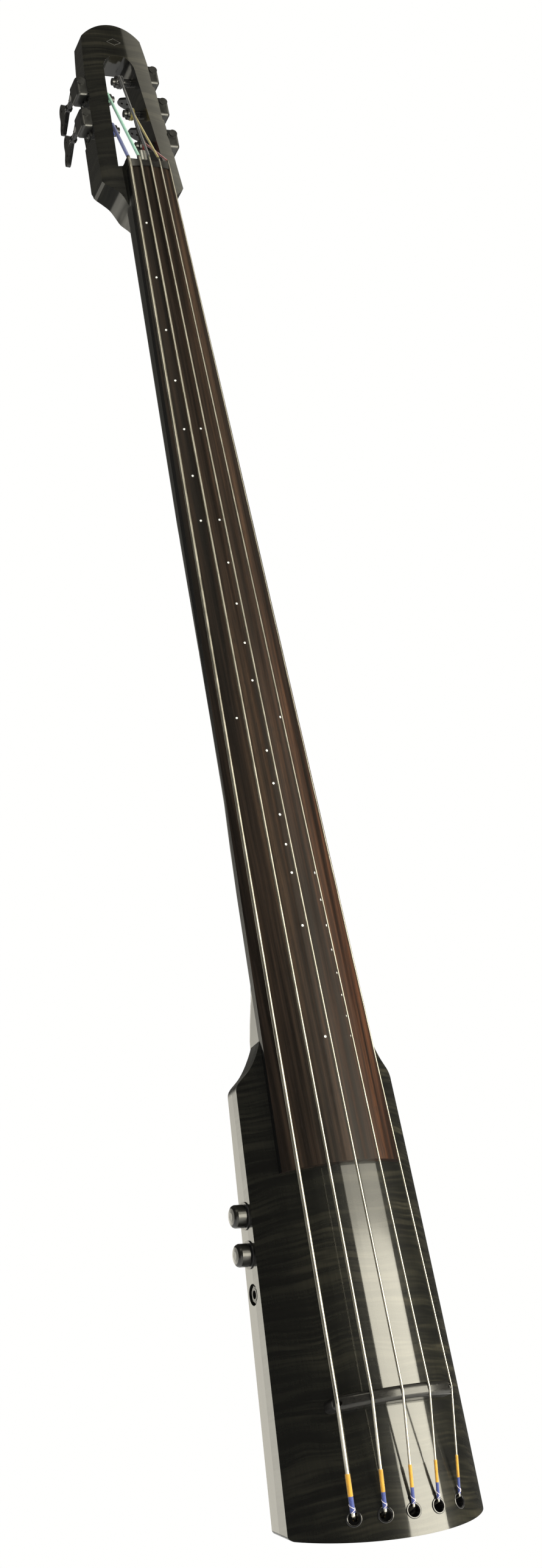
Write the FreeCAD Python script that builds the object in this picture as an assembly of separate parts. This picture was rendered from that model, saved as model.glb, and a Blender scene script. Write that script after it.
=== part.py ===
"""Slim five-string upright double bass with a solid body, an open slotted head and no frets.

Frame: +X to the treble side, -Y to the front (towards the player's bow), +Z up to the head.
The origin is the mouth of the threaded hole in the back, where a stand's bolt goes in.
Lengths are in millimetres.  Inside the functions a point is given by three numbers:
  u  sideways from the centre line, treble side positive
  d  depth behind the crown of the fingerboard
  s  distance down from the nut towards the tail
"""
import FreeCAD, Part
import math
import os

V = FreeCAD.Vector

# ---------------------------------------------------------------- driving dimensions
STRING_LENGTH = 1067.0            # nut to bridge, the 42 inch scale of a three-quarter bass
NUT_TO_TAIL = 1163.7
NUT_TO_HEAD_TOP = 178.5
BOARD_LENGTH = 896.0
NUT_SPACING = 9.26                # between neighbouring strings
BRIDGE_SPACING = 22.86
STRING_COUNT = 5
STRING_RADII = [1.45, 1.15, 0.95, 0.78, 0.65]
NUT_STRING_RISE = 1.5             # string centres above the board's crown line
BRIDGE_STRING_RISE = 9.8
BRIDGE_STRING_ARCH = 84.0         # radius through the five strings at the bridge

TOP_ARCH = 89.0                   # radius of the arched front, body and head
TOP_THICKNESS = 6.0
BODY_TOP_S = 823.0                # shoulder corners
TAIL_CORNER_S = 1149.0
SHOULDER_HALF_WIDTH = 64.8
TAIL_HALF_WIDTH = 78.8
CROWN_DEPTH = 8.0                 # body crown behind the board's crown, at the board's end
CROWN_SLOPE = 0.01
BACK_DEPTH = 53.3                 # flat back at the shoulder corners
BACK_SLOPE = 0.1023
SHOULDER_BACK_SLOPE = 0.535
TAIL_SLOPE = 0.29                 # the tail face leans in towards the back

HEAD_CROWN_DEPTH = 14.5           # head face behind the board's crown, at the nut
HEAD_SLOPE = 0.07
HEAD_THICKNESS = 25.0             # at the top of the head
HEAD_THICKENING = 0.07

SCREW_RADIUS = 1.6                # wood screws in the back and the bridge
SOLID_GAP = 0.05                  # clearance between neighbouring solids
SIDE_TAPER = (TAIL_HALF_WIDTH - SHOULDER_HALF_WIDTH) / (TAIL_CORNER_S - BODY_TOP_S)
SIDE_ANGLE = math.degrees(math.atan(SIDE_TAPER))
BACK_ANGLE = math.degrees(math.atan(BACK_SLOPE))

STAND_S = 1062.0                  # the stand's threaded hole


# ---------------------------------------------------------------- places
def point(u, d, s):
    return V(u, d, -s)


def sag(u, radius):
    """Drop of an arch of this radius at sideways distance u."""
    return radius - math.sqrt(radius * radius - u * u)


def board_half_width(s):
    return 20.0 + 0.0321 * s


def board_radius(s):
    return 70.0 + 10.0 * s / BOARD_LENGTH


def board_bottom(s):
    return 8.8 + 0.0153 * s


def body_half_width(s):
    return SHOULDER_HALF_WIDTH + SIDE_TAPER * (s - BODY_TOP_S)


def body_crown(s):
    return CROWN_DEPTH + CROWN_SLOPE * (s - BOARD_LENGTH)


def body_surface(u, s):
    return body_crown(s) + sag(u, TOP_ARCH)


def back_plane(s):
    return BACK_DEPTH + BACK_SLOPE * (s - BODY_TOP_S)


def shoulder_ramp(s):
    """Back of the shoulders, which rises towards the neck."""
    return BACK_DEPTH + SHOULDER_BACK_SLOPE * (s - BODY_TOP_S)


def head_crown(s):
    return HEAD_CROWN_DEPTH - HEAD_SLOPE * s


def head_back(s):
    """Flat back of the head; the plate grows a little thicker towards the nut."""
    return head_crown(s) + HEAD_THICKNESS + HEAD_THICKENING * (s + NUT_TO_HEAD_TOP)


def string_numbers():
    return range(STRING_COUNT)


def from_centre(i):
    """Strings are numbered from the bass side: -2, -1, 0, 1, 2 from the centre."""
    return i - (STRING_COUNT - 1) / 2.0


# ---------------------------------------------------------------- solid helpers
def box(u0, u1, d0, d1, s0, s1):
    return Part.makeBox(u1 - u0, d1 - d0, s1 - s0, V(u0, d0, -s1))


def rod(start, end, radius):
    axis = end.sub(start)
    return Part.makeCylinder(radius, axis.Length, start, axis)


def tube(start, end, outer, inner):
    return rod(start, end, outer).cut(rod(start, end, inner))


def fuse(shapes):
    whole = shapes[0]
    if len(shapes) > 1:
        whole = whole.fuse(shapes[1:])
    return whole.removeSplitter()


def group(shapes):
    return Part.makeCompound(shapes)


def largest(shape):
    return max(shape.Solids, key=lambda solid: solid.Volume)


def prism(points, direction):
    """Solid swept along a direction from a closed flat polygon."""
    return Part.Face(Part.makePolygon(points + [points[0]])).extrude(direction)


def behind(depth_at, s0, s1, reach=300.0):
    """Everything deeper than a line depth_at(s), between two distances from the nut."""
    corners = [
        point(-reach, depth_at(s0), s0),
        point(-reach, depth_at(s1), s1),
        point(-reach, reach, s1),
        point(-reach, reach, s0),
    ]
    return prism(corners, V(2 * reach, 0, 0))


def turned_about(start, axis, profile):
    """Solid of revolution: (distance along the axis, radius) pairs, first and last on the axis."""
    wire = Part.makePolygon([V(r, 0, a) for a, r in profile] + [V(profile[0][1], 0, profile[0][0])])
    solid = Part.Face(wire).revolve(V(0, 0, 0), V(0, 0, 1), 360)
    solid.Placement = FreeCAD.Placement(start, FreeCAD.Rotation(V(0, 0, 1), axis))
    return solid


def along(start, axis, distance):
    step = V(axis)
    step.normalize()
    return start.add(step.multiply(distance))


# ---------------------------------------------------------------- directions on the sloping faces
def back_out():
    """Outward normal of the flat back."""
    angle = math.radians(BACK_ANGLE)
    return V(0, math.cos(angle), math.sin(angle))


def side_out(side):
    """Outward normal of a side wall; side is -1 for bass, 1 for treble."""
    angle = math.radians(SIDE_ANGLE)
    return V(side * math.cos(angle), 0, math.sin(angle))


def on_back(u, s):
    return point(u, back_plane(s), s)


def lay_on_back(shape, u, s):
    """Moves a shape drawn with +Y outward and its face at Y = 0 onto the flat back."""
    placed = shape.copy()
    placed.rotate(V(0, 0, 0), V(1, 0, 0), BACK_ANGLE)
    placed.translate(on_back(u, s))
    return placed


# ---------------------------------------------------------------- body
SHOULDER_START_S = 782.0
CORNER_END_S = 829.0              # where the rounded shoulder corner meets the straight side
TAIL_ROUND = 3.0


def body_outline():
    """Front view: hollow shoulders, straight flared sides, square tail with rounded corners."""
    start = board_half_width(SHOULDER_START_S) - 2.6
    tail_s = NUT_TO_TAIL + 20.0
    tail_half = body_half_width(tail_s)
    halves = []
    for side in (-1, 1):
        shoulder = [
            point(side * start, 0, SHOULDER_START_S),
            point(side * (start + 3.6), 0, SHOULDER_START_S + 14.0),
            point(side * (start + 8.2), 0, SHOULDER_START_S + 25.0),
            point(side * (start + 14.8), 0, SHOULDER_START_S + 34.5),
            point(side * (SHOULDER_HALF_WIDTH - 1.9), 0, BODY_TOP_S - 1.0),
            point(side * body_half_width(CORNER_END_S), 0, CORNER_END_S),
        ]
        curve = Part.BSplineCurve()
        curve.interpolate(shoulder)
        halves.append(curve.toShape())
    left, right = halves
    bass_corner = point(-body_half_width(CORNER_END_S), 0, CORNER_END_S)
    treble_corner = point(body_half_width(CORNER_END_S), 0, CORNER_END_S)
    edges = [
        left,
        Part.makeLine(bass_corner, point(-tail_half, 0, tail_s)),
        Part.makeLine(point(-tail_half, 0, tail_s), point(tail_half, 0, tail_s)),
        Part.makeLine(point(tail_half, 0, tail_s), treble_corner),
        right,
        Part.makeLine(point(start, 0, SHOULDER_START_S), point(-start, 0, SHOULDER_START_S)),
    ]
    return Part.Face(Part.Wire(Part.__sortEdges__(edges)))


def arch_bar(crown_at, s0, s1, radius):
    """Round bar with its axis one arch radius behind a straight crown line."""
    start_point = point(0, crown_at(s0) + TOP_ARCH, s0)
    end_point = point(0, crown_at(s1) + TOP_ARCH, s1)
    return rod(start_point, end_point, radius)


def body_arch(radius):
    """Bar whose front is the arched front of the body, or a layer inside it."""
    return arch_bar(body_crown, BODY_TOP_S - 120.0, NUT_TO_TAIL + 60.0, radius)


def head_arch(radius):
    """Bar whose front is the arched face of the head, or a layer beside it."""
    return arch_bar(head_crown, -300.0, 150.0, radius)


def body_blank():
    """Whole body before it is divided into core and top."""
    outline = body_outline().extrude(V(0, 130, 0))
    reach = NUT_TO_TAIL + 60.0
    blank = outline.common(body_arch(TOP_ARCH))
    blank = blank.cut(behind(back_plane, SHOULDER_START_S - 60.0, reach))
    blank = blank.cut(behind(shoulder_ramp, SHOULDER_START_S - 60.0, BODY_TOP_S))
    tail_corners = [
        point(-200, -20, NUT_TO_TAIL + TAIL_SLOPE * (body_crown(NUT_TO_TAIL) + 20)),
        point(-200, 130, NUT_TO_TAIL + TAIL_SLOPE * (body_crown(NUT_TO_TAIL) - 130)),
        point(-200, 130, NUT_TO_TAIL + 100),
        point(-200, -20, NUT_TO_TAIL + 100),
    ]
    blank = blank.cut(prism(tail_corners, V(400, 0, 0)))
    return round_tail_corners(blank)


def round_tail_corners(blank):
    """Rounds the two corners of the tail."""
    tail_edges = []
    for edge in blank.Edges:
        first, last = edge.Vertexes[0].Point, edge.Vertexes[-1].Point
        same_side = abs(first.x) > 60 and abs(last.x) > 60 and first.x * last.x > 0
        steep = abs(first.y - last.y) > 10 and abs(first.z - last.z) < 12
        if same_side and steep and max(first.z, last.z) < -TAIL_CORNER_S + 20:
            tail_edges.append(edge)
    return blank.makeFillet(TAIL_ROUND, tail_edges)


# ---------------------------------------------------------------- neck blank
NUT_BEHIND = 9.7                  # the nut's thickness along the string
HEEL_END_S = 800.0
TENON_END_S = 868.0
TENON_HALF_WIDTH = 26.0
TENON_DEPTH = 46.0


def blend(s, stations):
    """Smooth value between (s, value) stations."""
    if s <= stations[0][0]:
        return stations[0][1]
    for (s0, v0), (s1, v1) in zip(stations, stations[1:]):
        if s <= s1:
            t = (s - s0) / (s1 - s0)
            t = t * t * (3 - 2 * t)
            return v0 + (v1 - v0) * t
    return stations[-1][1]


def neck_side_depth(s):
    """Where the neck's sides start to turn under."""
    return blend(s, [(0, 17.5), (330, 17.5), (640, 8.5), (700, 8.5), (740, 14.0), (HEEL_END_S, 40.0)])


def neck_back_depth(s):
    """Depth of the neck's back along its middle."""
    return blend(s, [(0, 35.0), (330, 37.0), (640, 33.5), (700, 33.5), (HEEL_END_S, 50.0)])


def neck_section(s):
    """D-shaped closed section: arched front, short straight sides, rounded back."""
    half = board_half_width(s)
    edge = sag(half, board_radius(s))
    turn = max(neck_side_depth(s), edge + 1.0)
    back = neck_back_depth(s)
    steps = 12
    under = []
    for k in range(steps + 1):
        angle = math.pi * k / steps
        bulge = math.sin(angle) ** 0.9
        under.append(point(half * math.cos(angle), turn + (back - turn) * bulge, s))
    curve = Part.BSplineCurve()
    curve.interpolate(under)
    front = Part.Arc(point(-half, edge, s), point(0, 0, s), point(half, edge, s)).toShape()
    treble = Part.makeLine(point(half, edge, s), point(half, turn, s))
    bass = Part.makeLine(point(-half, turn, s), point(-half, edge, s))
    return Part.Wire([front, treble, curve.toShape(), bass])


def neck_blank(stations):
    return Part.makeLoft([neck_section(s) for s in stations], True, True)


def behind_board():
    return behind(board_bottom, -400.0, NUT_TO_TAIL)


# ---------------------------------------------------------------- fingerboard and its dots
DOT_RADIUS = 1.35
DOT_DEPTH = 2.0


def fingerboard():
    blank = neck_blank([0, 300, 600, BOARD_LENGTH])
    return blank.cut(behind_board()).cut(dot_holes())


def semitone(n):
    """Distance from the nut at which a stopped string sounds n semitones higher."""
    return STRING_LENGTH * (1 - 2 ** (-n / 12.0))


def dot_places():
    """Three slanting rows of pitch markers: bass side, middle and treble side."""
    rows = [
        ([1, 2, 3, 4, 5, 6, 7, 12], -13.2, -13.7),
        ([5, 7, 8, 9, 10, 11, 13, 14, 15, 16, 17, 19, 24], -3.4, 4.4),
        ([12, 17, 18, 19, 20, 21, 22, 23, 24], 6.2, 22.8),
    ]
    places = []
    for semitones, offset, drift in rows:
        for n in semitones:
            s = semitone(n)
            places.append((offset + drift * s / STRING_LENGTH, s))
    return places


def dot(u, s, height, depth):
    """Short peg square to the arched front of the board."""
    radius = board_radius(s)
    centre = point(0, radius, s)
    tilt = math.asin(u / radius)
    outward = V(math.sin(tilt), -math.cos(tilt), 0)
    return rod(along(centre, outward, radius - depth), along(centre, outward, radius + height), DOT_RADIUS)


def dot_holes():
    return group([dot(u, s, 3.0, DOT_DEPTH) for u, s in dot_places()])


def position_dots():
    return group([dot(u, s, 0.08, DOT_DEPTH) for u, s in dot_places()])


# ---------------------------------------------------------------- truss rod
TRUSS_S0 = -6.0
TRUSS_S1 = 690.0
TRUSS_HALF_WIDTH = 3.0
TRUSS_HEIGHT = 10.0
TRUSS_NUT_RADIUS = 4.5
TRUSS_NUT_LENGTH = 11.0
TRUSS_NUT_S = -25.0
TRUSS_STEM_RADIUS = 2.4
TRUSS_KEY_RADIUS = 2.6            # corners of the nut's hexagonal socket


def truss_depth():
    """Axis of the rod's adjusting nut, which sits in the slot's lower end."""
    return board_bottom(TRUSS_S0) + 0.5 * TRUSS_HEIGHT


def bar_under_board(above, below, half_width, end_s):
    """Flat-sided bar along the neck that follows the bottom of the board."""
    corners = [
        point(-half_width, board_bottom(TRUSS_S0) + above, TRUSS_S0),
        point(-half_width, board_bottom(end_s) + above, end_s),
        point(-half_width, board_bottom(end_s) + below, end_s),
        point(-half_width, board_bottom(TRUSS_S0) + below, TRUSS_S0),
    ]
    return prism(corners, V(2 * half_width, 0, 0))


def truss_rod():
    bar = bar_under_board(0.2, TRUSS_HEIGHT, TRUSS_HALF_WIDTH, TRUSS_S1)
    depth = truss_depth()
    stem = rod(point(0, depth, TRUSS_S0), point(0, depth, TRUSS_NUT_S + 2.0), TRUSS_STEM_RADIUS)
    return fuse([bar, stem])


def truss_rod_groove():
    return bar_under_board(-1.0, TRUSS_HEIGHT + 0.1, TRUSS_HALF_WIDTH + 0.1, TRUSS_S1 + 1.0)


def truss_stem_hole():
    depth = truss_depth()
    return rod(point(0, depth, TRUSS_S0 + 1.0), point(0, depth, SLOT_BOTTOM_S - 1.0), TRUSS_STEM_RADIUS + 0.1)


def truss_rod_nut():
    """Round nut with a hexagonal socket, turned with a key from inside the slot."""
    depth = truss_depth()
    body = rod(point(0, depth, TRUSS_NUT_S), point(0, depth, TRUSS_NUT_S + TRUSS_NUT_LENGTH), TRUSS_NUT_RADIUS)
    corners = []
    for k in range(6):
        angle = math.radians(60 * k)
        across = TRUSS_KEY_RADIUS * math.cos(angle)
        deep = depth + TRUSS_KEY_RADIUS * math.sin(angle)
        corners.append(point(across, deep, TRUSS_NUT_S - 1))
    socket = prism(corners, V(0, 0, -2.9))
    bore_start = point(0, depth, TRUSS_NUT_S + 2.0 - SOLID_GAP)
    bore_end = point(0, depth, TRUSS_NUT_S + TRUSS_NUT_LENGTH + 1)
    bore = rod(bore_start, bore_end, TRUSS_STEM_RADIUS + SOLID_GAP)
    return body.cut(socket).cut(bore)


# ---------------------------------------------------------------- head
SLOT_TOP_S = -141.0
SLOT_BOTTOM_S = -12.0
SCARF_S = -9.7
CHEEK_LINE = [(28.4, -166.0), (31.4, -137.0), (34.8, -84.0), (37.0, -28.0), (38.4, 2.5)]
SCOOP_LINE = [(36.6, 5.6), (33.0, 9.5), (29.9, 12.8), (26.8, 16.6), (24.2, 22.0),
              (22.3, 28.0), (21.0, 34.0), (18.6, 41.0), (15.0, 50.0)]
THROAT_LINE = [(-6.0, 52.4), (5.0, 47.0), (14.0, 45.2), (24.0, 44.0), (34.0, 41.0), (42.0, 36.5), (50.0, 33.0)]
INLAY_S = -158.0
INLAY_HALF_WIDTH = 7.0
INLAY_HALF_HEIGHT = 4.2
INLAY_LINE = 0.9
INLAY_DEPTH = 0.6
INLAY_RISE = 0.02


def head_outline():
    """Domed top, sides that spread towards the nut, ears, and hollow scoops into the neck."""
    edges = []
    dome_u, dome_s = CHEEK_LINE[0]
    dome = Part.Arc(point(-dome_u, 0, dome_s), point(0, 0, -NUT_TO_HEAD_TOP), point(dome_u, 0, dome_s))
    edges.append(dome.toShape())
    for side in (-1, 1):
        cheek_points = [point(side * u, 0, s) for u, s in CHEEK_LINE]
        scoop_points = [point(side * u, 0, s) for u, s in SCOOP_LINE]
        cheek = Part.BSplineCurve()
        cheek.interpolate(cheek_points)
        scoop = Part.BSplineCurve()
        scoop.interpolate(scoop_points)
        ear = Part.makeLine(cheek_points[-1], scoop_points[0])
        edges.extend([cheek.toShape(), ear, scoop.toShape()])
    end_u, end_s = SCOOP_LINE[-1]
    edges.append(Part.makeLine(point(end_u, 0, end_s), point(-end_u, 0, end_s)))
    return Part.Face(Part.Wire(Part.__sortEdges__(edges)))


def slot_outline():
    """Opening between the cheeks, wider at the nut, with rounded upper corners."""
    left_low = point(-22.4, 0, SLOT_BOTTOM_S)
    right_low = point(22.4, 0, SLOT_BOTTOM_S)
    left = Part.makeLine(left_low, point(-15.2, 0, -124.0))
    right = Part.makeLine(point(15.2, 0, -124.0), right_low)
    left_turn = Part.BSplineCurve()
    left_turn.interpolate([point(-15.2, 0, -124.0), point(-13.4, 0, -133.5), point(-6.5, 0, SLOT_TOP_S)])
    right_turn = Part.BSplineCurve()
    right_turn.interpolate([point(6.5, 0, SLOT_TOP_S), point(13.4, 0, -133.5), point(15.2, 0, -124.0)])
    top = Part.makeLine(point(-6.5, 0, SLOT_TOP_S), point(6.5, 0, SLOT_TOP_S))
    edges = [left, left_turn.toShape(), top, right_turn.toShape(), right, Part.makeLine(right_low, left_low)]
    return Part.Face(Part.Wire(Part.__sortEdges__(edges)))


def head_plate():
    """Arched plate of the whole head, before slot and holes."""
    flat = head_outline().extrude(V(0, 120, 0))
    arched = flat.common(head_arch(TOP_ARCH))
    return arched.cut(behind(head_back, -300, 150)).cut(behind_throat())


def behind_throat():
    """Everything behind the curve that carries the head's back into the neck's."""
    curve = Part.BSplineCurve()
    curve.interpolate([point(-100, d, s) for s, d in THROAT_LINE])
    (first_s, first_d), (last_s, last_d) = THROAT_LINE[0], THROAT_LINE[-1]
    corners = [
        point(-100, last_d, last_s),
        point(-100, last_d, last_s + 50),
        point(-100, 200, last_s + 50),
        point(-100, 200, first_s),
        point(-100, first_d, first_s),
    ]
    face = Part.Face(Part.Wire([curve.toShape()] + Part.makePolygon(corners).Edges))
    return face.extrude(V(200, 0, 0))


def headstock(neck_part):
    plate = head_plate()
    plate = plate.cut(slot_outline().extrude(V(0, 120, 0)))
    plate = plate.cut(neck_part).cut(truss_stem_hole())
    plate = plate.cut(box(-60, 60, -5, board_bottom(SCARF_S), -400, SCARF_S).common(
        box(-board_half_width(0), board_half_width(0), -5, 40, -40, 0)))
    for tuner in tuners():
        plate = plate.cut(post_hole(tuner))
        plate = plate.cut(foot_screw_hole(tuner)).cut(housing_seat(tuner))
    return largest(plate).cut(headstock_inlay())


def lozenge(half_width, half_height):
    """Upright four-cornered bar through the head at the inlay's place."""
    corners = [
        point(-half_width, 0, INLAY_S),
        point(0, 0, INLAY_S - half_height),
        point(half_width, 0, INLAY_S),
        point(0, 0, INLAY_S + half_height),
    ]
    return prism(corners, V(0, 60, 0))


def headstock_inlay():
    """Small lozenge ring let into the head's face."""
    shrink = 1 - INLAY_LINE / INLAY_HALF_WIDTH
    outer = lozenge(INLAY_HALF_WIDTH, INLAY_HALF_HEIGHT)
    inner = lozenge(INLAY_HALF_WIDTH * shrink, INLAY_HALF_HEIGHT * shrink)
    skin = head_arch(TOP_ARCH + INLAY_RISE).cut(head_arch(TOP_ARCH - INLAY_DEPTH))
    return outer.cut(inner).common(skin).common(box(-20, 20, 0, 60, INLAY_S - 20, INLAY_S + 20))


# ---------------------------------------------------------------- neck
def tenon_back(s):
    """The tenon stays inside the sloping shoulders."""
    return shoulder_ramp(s) - 1.0


def neck():
    stations = [SCARF_S] + list(range(0, 690, 115)) + list(range(690, int(HEEL_END_S), 11)) + [HEEL_END_S]
    shaft = neck_blank(stations).common(behind_board())
    tenon = box(-TENON_HALF_WIDTH, TENON_HALF_WIDTH, 5, TENON_DEPTH, HEEL_END_S - 12, TENON_END_S)
    tenon = tenon.common(behind_board()).cut(behind(tenon_back, HEEL_END_S, TENON_END_S))
    whole = fuse([shaft, tenon])
    shelf = box(-60, 60, -20, board_bottom(0), SCARF_S - 5, 0)
    return whole.cut(truss_rod_groove()).cut(truss_stem_hole()).cut(shelf)


# ---------------------------------------------------------------- nut, bridge and string lines
NUT_HALF_WIDTH = 20.0
BRIDGE_HALF_LENGTH = 48.2
BRIDGE_THICKNESS = 10.0
BRIDGE_CORNER = 3.8               # rounding of the ends, seen from the front
BRIDGE_ROUND = 3.4                # rounding all round the top
BRIDGE_SCREW_INSET = 3.6          # from the end to the screw's axis
BRIDGE_SCREW_DROP = 4.8           # head seat below the arch through the strings
BRIDGE_SCREW_GRIP = 14.0          # length of thread in the body
BRIDGE_HEAD_RADIUS = 1.9
BRIDGE_HEAD_HEIGHT = 1.8
BRIDGE_NOTCH = 0.55               # how much of each string sits below the bridge's top
PICKUP_HEIGHT = 1.6
PICKUP_WIDTH = 7.0


def nut_string(i):
    u = from_centre(i) * NUT_SPACING
    return point(u, sag(u, board_radius(0)) - NUT_STRING_RISE, 0)


def nut_rear_string(i):
    low = nut_string(i)
    return V(low.x, low.y + 0.8, NUT_BEHIND - 1.0)


def bridge_string(i):
    u = from_centre(i) * BRIDGE_SPACING
    return point(u, sag(u, BRIDGE_STRING_ARCH) - BRIDGE_STRING_RISE, STRING_LENGTH)


def nut():
    """Curved nut with five grooves, set across the end of the board."""
    half = NUT_HALF_WIDTH
    rise = NUT_STRING_RISE - 0.4
    edge = sag(half, board_radius(0)) - rise
    arc = Part.Arc(point(-half, edge, 0), point(0, -rise, 0), point(half, edge, 0)).toShape()
    base = board_bottom(0)
    lines = Part.makePolygon([point(half, edge, 0), point(half, base, 0), point(-half, base, 0), point(-half, edge, 0)])
    face = Part.Face(Part.Wire([arc] + lines.Edges))
    body = face.extrude(V(0, 0, NUT_BEHIND))
    slope = prism([
        point(-half - 1, -10, -5.0),
        point(-half - 1, -rise - 0.5, -5.0),
        point(-half - 1, 3.5, -NUT_BEHIND - 0.5),
        point(-half - 1, -10, -NUT_BEHIND - 0.5),
    ], V(2 * half + 2, 0, 0))
    body = body.cut(slope)
    for i in string_numbers():
        body = body.cut(string_path_near_nut(i, STRING_RADII[i] + SOLID_GAP))
    return body


def bridge_top(u):
    return sag(u, BRIDGE_STRING_ARCH) - BRIDGE_STRING_RISE + STRING_RADII[2] - BRIDGE_NOTCH


def bridge_face():
    """Front view of the bridge: arched foot over the body, arched top under the strings."""
    s = STRING_LENGTH
    half = BRIDGE_HALF_LENGTH
    lift = PICKUP_HEIGHT + 0.1
    edge_foot = body_surface(half, s) - lift
    edge_top = bridge_top(half)
    foot = Part.Arc(point(-half, edge_foot, s), point(0, body_crown(s) - lift, s), point(half, edge_foot, s))
    top = Part.Arc(point(half, edge_top, s), point(0, bridge_top(0), s), point(-half, edge_top, s))
    treble = Part.makeLine(point(half, edge_foot, s), point(half, edge_top, s))
    bass = Part.makeLine(point(-half, edge_top, s), point(-half, edge_foot, s))
    return Part.Face(Part.Wire([foot.toShape(), treble, top.toShape(), bass]))


def is_bridge_corner(edge):
    """The four short upright corners at the bridge's ends."""
    first, last = edge.Vertexes[0].Point, edge.Vertexes[-1].Point
    return abs(first.x - last.x) < 0.01 and abs(first.y - last.y) > 1.0


def is_bridge_rim(edge):
    """Edges round the top of the bridge."""
    middle = edge.valueAt((edge.FirstParameter + edge.LastParameter) / 2)
    above_foot = body_surface(middle.x, STRING_LENGTH) - middle.y > 6.0
    first, last = edge.Vertexes[0].Point, edge.Vertexes[-1].Point
    along_top = abs(first.y - bridge_top(first.x)) < 0.1 and abs(last.y - bridge_top(last.x)) < 0.1
    return above_foot and along_top


def bridge():
    blank = bridge_face().extrude(V(0, 0, BRIDGE_THICKNESS))
    blank.translate(V(0, 0, -BRIDGE_THICKNESS / 2))
    blank = blank.makeFillet(BRIDGE_CORNER, [edge for edge in blank.Edges if is_bridge_corner(edge)])
    blank = blank.makeFillet(BRIDGE_ROUND, [edge for edge in blank.Edges if is_bridge_rim(edge)])
    for i in string_numbers():
        blank = blank.cut(string_path_near_bridge(i, STRING_RADII[i] + SOLID_GAP))
    for side in (-1, 1):
        seat, tip = bridge_screw_line(side)
        mouth = along(seat, seat.sub(tip), 20)
        blank = blank.cut(rod(mouth, tip, SCREW_RADIUS + 0.15))
        blank = blank.cut(rod(mouth, seat, BRIDGE_HEAD_RADIUS + 0.15))
    return blank


def bridge_screw_line(side):
    """Head seat and tip of one of the two screws that hold the bridge down."""
    u = side * (BRIDGE_HALF_LENGTH - BRIDGE_SCREW_INSET)
    seat = point(u, sag(u, BRIDGE_STRING_ARCH) - BRIDGE_STRING_RISE + BRIDGE_SCREW_DROP, STRING_LENGTH)
    tip = V(seat.x, body_surface(u, STRING_LENGTH) + BRIDGE_SCREW_GRIP, seat.z)
    return seat, tip


def bridge_screws():
    """Two cap screws with round sockets."""
    screws = []
    for side in (-1, 1):
        seat, tip = bridge_screw_line(side)
        outward = seat.sub(tip)
        head_top = along(seat, outward, BRIDGE_HEAD_HEIGHT)
        screw = fuse([rod(head_top, seat, BRIDGE_HEAD_RADIUS), rod(seat, tip, SCREW_RADIUS)])
        screws.append(screw.cut(rod(along(head_top, outward, 0.2), along(head_top, outward, -1.1), 1.0)))
    return group(screws)


def bridge_pickup():
    """Thin sensor strip between the bridge's foot and the body."""
    half = BRIDGE_HALF_LENGTH - 6.0
    s = STRING_LENGTH
    outer = Part.Arc(
        point(-half, body_surface(half, s) - PICKUP_HEIGHT, s),
        point(0, body_crown(s) - PICKUP_HEIGHT, s),
        point(half, body_surface(half, s) - PICKUP_HEIGHT, s)).toShape()
    inner = Part.Arc(
        point(half, body_surface(half, s), s),
        point(0, body_crown(s), s),
        point(-half, body_surface(half, s), s)).toShape()
    ends = [
        Part.makeLine(point(half, body_surface(half, s) - PICKUP_HEIGHT, s), point(half, body_surface(half, s), s)),
        Part.makeLine(point(-half, body_surface(half, s), s), point(-half, body_surface(half, s) - PICKUP_HEIGHT, s)),
    ]
    strip = Part.Face(Part.Wire([outer, ends[0], inner, ends[1]])).extrude(V(0, 0, PICKUP_WIDTH))
    strip.translate(V(0, 0, -PICKUP_WIDTH / 2))
    return strip.cut(body_arch(TOP_ARCH))


# ---------------------------------------------------------------- strings
ANCHOR_S = 1146.3
ANCHOR_SPACING = 21.0
CUP_OUTER = 5.3
CUP_INNER = 4.4
CUP_LENGTH = 13.0
CUP_FLOOR = 2.0
CUP_RIM = 0.5
BALL_RADIUS = 2.9
BALL_LENGTH = 5.6
POST_RADIUS = 3.6
SILK_THICKNESS = 0.28
GOLD_SPAN = (13.0, 28.5)          # covered lengths, measured back from the anchor lip
BLUE_SPAN = (1.8, 12.9)
SILK_TURNS = 2
SILK_TURN_STEP = 1.7              # from turn to turn, in silk radii
SILK_RUN_SHARE = 0.94             # the straight run is a little slimmer than the turns
SILK_GAP = 0.05                   # turns clear of the post


def anchor_mouth(i):
    """Middle of the anchor hole on the arched front."""
    u = from_centre(i) * ANCHOR_SPACING
    s = ANCHOR_S - 0.001 * u * u
    return point(u, body_surface(u, s), s)


def anchor_out(i):
    u = from_centre(i) * ANCHOR_SPACING
    tilt = math.asin(u / TOP_ARCH)
    return V(math.sin(tilt), -math.cos(tilt), 0)


def ball_centre(i):
    return along(anchor_mouth(i), anchor_out(i), -(CUP_LENGTH + BALL_RADIUS + 0.1))


def anchor_floor(i):
    return along(anchor_mouth(i), anchor_out(i), -(CUP_LENGTH - 0.5 * CUP_FLOOR))


def tail_bend(i):
    """Where the string dips over the upper lip of its anchor hole."""
    mouth = anchor_mouth(i)
    radius = STRING_RADII[i]
    lip = V(mouth.x, mouth.y, mouth.z + CUP_INNER - radius - 0.7)
    return along(lip, anchor_out(i), CUP_RIM + radius * 0.6)


def string_points(i):
    """Centre line of the bare string, from the anchor's floor to behind the nut."""
    return [
        along(ball_centre(i), anchor_out(i), 0.55 * BALL_RADIUS),
        anchor_floor(i),
        tail_bend(i),
        bridge_string(i),
        nut_string(i),
        nut_rear_string(i),
        silk_start(i),
    ]


def silk_start(i):
    """Where the head silk takes over, on the way from the nut to the post."""
    return along(nut_rear_string(i), post_tangent(i).sub(nut_rear_string(i)), 3.0)


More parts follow.
